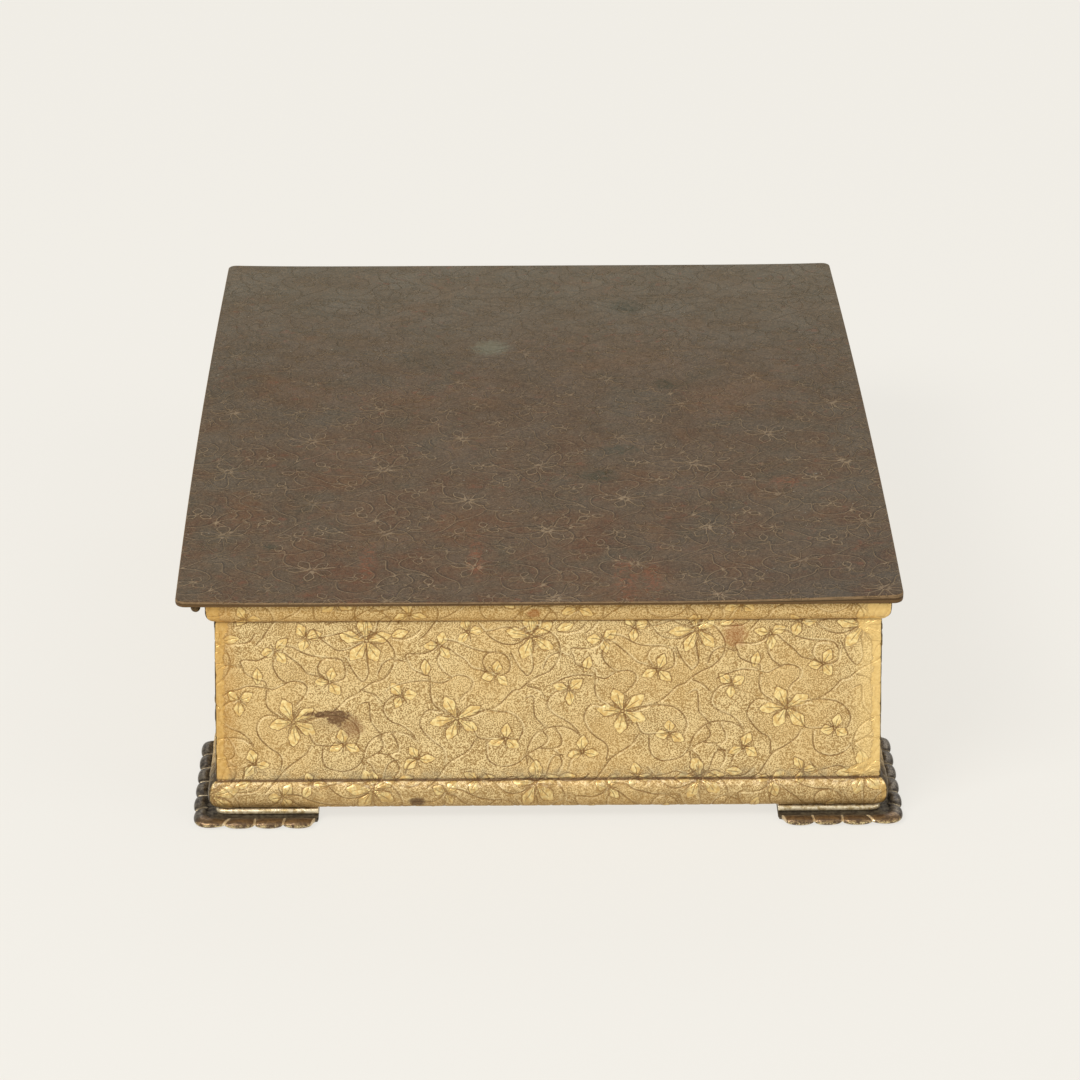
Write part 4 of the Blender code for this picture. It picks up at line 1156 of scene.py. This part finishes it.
def lid_material():
    """Brown patina with the pattern in faint lighter lines, coloured patches, and a rubbed edge."""
    sh = Shader("lid_patina")
    inset, across, along, petal = (sh.attribute(name) for name in ("inset", "across", "along", "petal"))
    middle = sh.noise(0.11, 4.0, 0.6, offset=31.0)
    fine = sh.noise(2.4, 3.0, 0.65, distortion=0.8)
    worm = sh.noise(1.0, 2.0, 0.55, distortion=1.6, offset=63.0)
    paint_patina(sh, across, along, middle, fine, worm)
    drawn = paint_lid_pattern(sh, along, petal, worm)
    paint_lid_patches(sh, across, along)
    paint_lid_edge(sh, inset)

    normal = sh.bump(sh.plus(sh.product(fine, 0.6), worm, middle), 0.16, 0.7)
    normal = sh.bump(sh.plus(drawn, sh.step(petal, 0.3, -0.3)), 0.16, 0.9, normal)
    roughness = sh.step(sh.plus(middle, sh.product(fine, 0.5)), 0.4, 1.1, 0.42, 0.62)
    return sh.finish(metallic=0.2, roughness=roughness, normal=normal, specular=0.12)


def foot_material():
    """Cast gilt brass: a polished band painted cream as a highlight, a dark cove of patina and painted shade,
    painted glints in the notches, and gold rubbed back on the lobes.
    """
    sh = Shader("cast_foot")
    out, level, lobe, arm = (sh.attribute(name) for name in ("out", "level", "lobe", "arm"))
    patch = sh.noise(1.3, 4.0, 0.65, offset=8.0)
    fine = sh.noise(4.0, 2.0, 0.6, offset=19.0)
    sh.colour = sh.mix(sh.step(patch, 0.42, 0.58), rgb(96, 74, 54), rgb(160, 130, 88))
    sh.paint(rgb(74, 60, 42), sh.step(fine, 0.45, 0.65, 0.0, 0.6))
    sh.paint(rgb(96, 76, 56), sh.step(level, 0.95, 1.4), 0.6)
    crest = sh.product(sh.step(level, 0.05, 0.3), sh.step(level, 1.15, 0.8), sh.step(out, 4.2, 4.8),
                       sh.step(patch, 0.42, 0.52))
    sh.paint(rgb(232, 214, 162), crest, sh.step(fine, 0.56, 0.46), 0.85)
    under_band = sh.step(level, FOOT_HEIGHT - 1.2 * BAND_RADIUS, FOOT_HEIGHT - 1.75 * BAND_RADIUS)
    cove = sh.product(under_band, sh.step(out, 4.2, 3.3))
    # The cove: dark patina, and also painted shade for the hollow that reflects only dark.
    cove_patina_and_shade = sh.mix(sh.step(patch, 0.4, 0.62), rgb(72, 62, 48), rgb(106, 96, 76))
    sh.paint(cove_patina_and_shade, cove, sh.step(fine, 0.75, 0.35, 0.8, 1.0))
    # The band: polished gold, with a painted cream highlight where it rounds over toward the light.
    band_polish_and_highlight = sh.mix(sh.step(patch, 0.35, 0.6), rgb(196, 172, 122), rgb(250, 236, 202))
    sh.paint(band_polish_and_highlight, sh.step(out, FOOT_BAND_OUT + 0.08, FOOT_BAND_OUT), sh.minus(1.0, under_band))
    side = sh.step(arm, 0.9, 0.1)
    sh.paint(sh.mix(sh.step(patch, 0.42, 0.58), rgb(56, 50, 44), rgb(108, 100, 86)), side, 0.92)
    # Painted glints: light lines on the notch walls between the lobes.
    notch = sh.product(sh.step(lobe, 0.52, 0.38), sh.step(out, 2.9, 3.3), sh.step(level, 0.3, 0.5))
    sh.paint(rgb(236, 216, 178), notch, sh.step(side, 0.0, 1.0, 0.7, 0.3))
    roughness = sh.step(sh.plus(cove, sh.product(patch, 0.5)), 0.1, 1.2, 0.3, 0.65)
    normal = sh.bump(sh.plus(patch, sh.product(fine, 0.5)), 0.12, 0.6)
    return sh.finish(metallic=0.6, roughness=roughness, normal=normal)


def aged_brass(name, bright, dark, scale=0.8):
    """Plain brass that has darkened in patches, for the fittings and the inside of the sheet work."""
    sh = Shader(name)
    patch = sh.noise(scale, 4.0, 0.6, offset=4.0)
    fine = sh.noise(scale * 5, 2.0, 0.6, offset=13.0)
    sh.colour = sh.mix(sh.step(patch, 0.32, 0.66), dark, bright)
    sh.paint(dark, sh.step(fine, 0.5, 0.8, 0.0, 0.45))
    roughness = sh.step(patch, 0.3, 0.7, 0.55, 0.34)
    normal = sh.bump(sh.plus(patch, sh.product(fine, 0.4)), 0.04, 0.5)
    return sh.finish(metallic=0.8, roughness=roughness, normal=normal)


def velvet_material():
    """Worn wine-red velvet: short nap, soft sheen, and paler patches where it has rubbed."""
    sh = Shader("worn_velvet")
    nap = sh.noise(7.0, 2.0, 0.6)
    brushed = sh.noise(0.22, 3.0, 0.6, distortion=1.2, offset=6.0)
    sh.colour = sh.mix(sh.step(nap, 0.3, 0.7), rgb(92, 22, 30), rgb(128, 38, 44))
    sh.paint(rgb(84, 16, 26), sh.step(brushed, 0.35, 0.65, 0.0, 0.45))
    sh.paint(rgb(156, 78, 70), sh.step(sh.noise(0.06, 3.0, 0.6, offset=15.0), 0.52, 0.78, 0.0, 0.5))
    normal = sh.bump(sh.plus(nap, sh.product(brushed, 0.6)), 0.14, 0.7)
    return sh.finish(roughness=0.92, specular=0.15, sheen=0.7, sheen_roughness=0.4,
                     sheen_tint=rgb(232, 150, 150), normal=normal)


def card_material():
    """Old grey-brown pasteboard with a fibrous face."""
    sh = Shader("pasteboard")
    fibre = sh.noise(2.2, 4.0, 0.7, distortion=0.8)
    sh.colour = sh.mix(sh.step(fibre, 0.3, 0.7), rgb(158, 136, 104), rgb(182, 162, 128))
    sh.paint(rgb(142, 118, 86), sh.step(sh.noise(0.12, 3.0, 0.6, offset=3.0), 0.4, 0.7, 0.0, 0.5))
    return sh.finish(roughness=0.9, specular=0.2, normal=sh.bump(fibre, 0.06, 0.5))


# ---------------------------------------------------------------- surroundings

BACKDROP = rgb(240, 237, 230)
PAPER = 0.14
PAPER_GLOW = 0.842
FLOOR_HALF = 6000
CAMERA_LENS = 135.6
CAMERA_ELEVATION = 24.2
CAMERA_AZIMUTH = 0.764
CAMERA_DISTANCE = 761.9
CAMERA_AIM = (0.4, -60.3)


def add_floor():
    """A wide pale sweep that glows a little, so that its tone stays even and shadows stay faint."""
    corners = [(x * FLOOR_HALF, y * FLOOR_HALF, 0) for x, y in ((-1, -1), (1, -1), (1, 1), (-1, 1))]
    floor = mesh_object("floor", corners, [(0, 1, 2, 3)], smooth=False)
    sh = Shader("paper")
    light, dark = (tuple(c * share for c in BACKDROP[:3]) + (1,) for share in (PAPER, PAPER * 0.98))
    sh.colour = sh.mix(sh.step(sh.noise(0.004, 2.0), 0.3, 0.7), light, dark)
    sh.surface.inputs["Emission Color"].default_value = BACKDROP
    sh.surface.inputs["Emission Strength"].default_value = PAPER_GLOW
    floor.data.materials.append(sh.finish(roughness=0.9, specular=0.1))


def add_softbox(name, place, size, power, colour=(1.0, 0.98, 0.95)):
    """An area lamp that looks at the box."""
    lamp = bpy.data.lights.new(name, "AREA")
    lamp.shape = "RECTANGLE"
    lamp.size, lamp.size_y = size[0] * MM, size[1] * MM
    lamp.energy = power
    lamp.color = colour
    made = bpy.data.objects.new(name, lamp)
    made.location = Vector(place) * MM
    made.rotation_euler = (-made.location).to_track_quat("-Z", "Y").to_euler()
    bpy.context.scene.collection.objects.link(made)


def add_lights():
    world = bpy.data.worlds.new("surroundings")
    bpy.context.scene.world = world
    world.use_nodes = True
    background = world.node_tree.nodes["Background"]
    background.inputs["Color"].default_value = (1.0, 0.985, 0.955, 1.0)
    background.inputs["Strength"].default_value = 0.46
    add_softbox("key", (-650, -800, 950), (700, 500), 15.0)
    add_softbox("fill", (900, -500, 800), (800, 800), 4.0)
    add_softbox("rear", (200, 1100, 900), (1200, 600), 5.0)


def add_camera():
    elevation, azimuth = math.radians(CAMERA_ELEVATION), math.radians(CAMERA_AZIMUTH)
    middle = (LID_LOW + LID_HIGH) / 2
    aim = Vector((middle[0] + CAMERA_AIM[0], middle[1] + CAMERA_AIM[1], LID_TOP))
    forward = Vector((math.sin(azimuth) * math.cos(elevation), math.cos(azimuth) * math.cos(elevation),
                      -math.sin(elevation)))
    data = bpy.data.cameras.new("camera")
    data.lens = CAMERA_LENS
    data.sensor_width = 36
    data.clip_start, data.clip_end = 0.01, 50
    camera = bpy.data.objects.new("camera", data)
    camera.location = (aim - forward * CAMERA_DISTANCE) * MM
    camera.rotation_euler = (math.pi / 2 - elevation, 0, -azimuth)
    bpy.context.scene.collection.objects.link(camera)
    bpy.context.scene.camera = camera


# ---------------------------------------------------------------- putting it together

def dress(made, material, body, nodes):
    made.data.materials.clear()
    made.data.materials.append(material)
    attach(made, body)
    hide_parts(*nodes)


def dress_node(name, material):
    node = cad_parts[name]
    for place in node.material_slots:
        place.link = "OBJECT"
        place.material = material


def main():
    bpy.context.scene.view_settings.view_transform = "Standard"
    sides = side_gilt_material()
    gilding = {"front": front_gilt_material(), "back": gilt_shader("gilt_sheet").finish(), "left": sides,
               "right": sides}
    origins = {"front": (-46.8, 19.9), "back": (-40.0, 21.0), "left": (-70.0, 18.0), "right": (-66.0, 23.0)}
    for number, (side, origin) in enumerate(origins.items()):
        spacing = FINE if side in ("front", "back") else SIDE_FINE
        wall = build_wall(side, spacing, origin, number)
        dress(wall, gilding[side], "box", ["wall_" + side])
    dress(build_lid(), lid_material(), "lid", ["lid_plate"])

    cast = foot_material()
    for number, corner in enumerate(CORNERS):
        dress(build_foot(corner, number), cast, "box", ["foot_" + corner])
    # The beads' dark brass is their brown patina, and also painted shade for the shadow under the lid where
    # they sit.
    dark = aged_brass("bead_brass", rgb(120, 96, 60), rgb(58, 46, 34), 1.5)
    for end in ("front", "back"):
        dress(build_bead(end), dark, "box", ["hinge_ball_" + end])

    velvet = velvet_material()
    for side in SIDES:
        dress(build_wall_lining(side), velvet, "box", ["lining_" + side])
    for node, name, face, body in (("lining_floor_pad", "velvet_floor_pad", 1, "box"),
                                   ("lid_lining_pad", "velvet_lid_pad", -1, "lid")):
        pad = build_pad(node, name, face)
        dress(pad, velvet, body, [node])

    fitting = aged_brass("fitting_brass", rgb(196, 158, 92), rgb(116, 88, 50))
    hinge = aged_brass("hinge_brass", rgb(150, 118, 68), rgb(78, 60, 38), 1.2)
    card = card_material()
    for name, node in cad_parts.items():
        if node.hide_render:
            continue
        if "board" in name:
            dress_node(name, card)
        elif "hinge" in name:
            dress_node(name, hinge)
        else:
            dress_node(name, fitting)
    add_floor()
    add_lights()
    add_camera()


main()
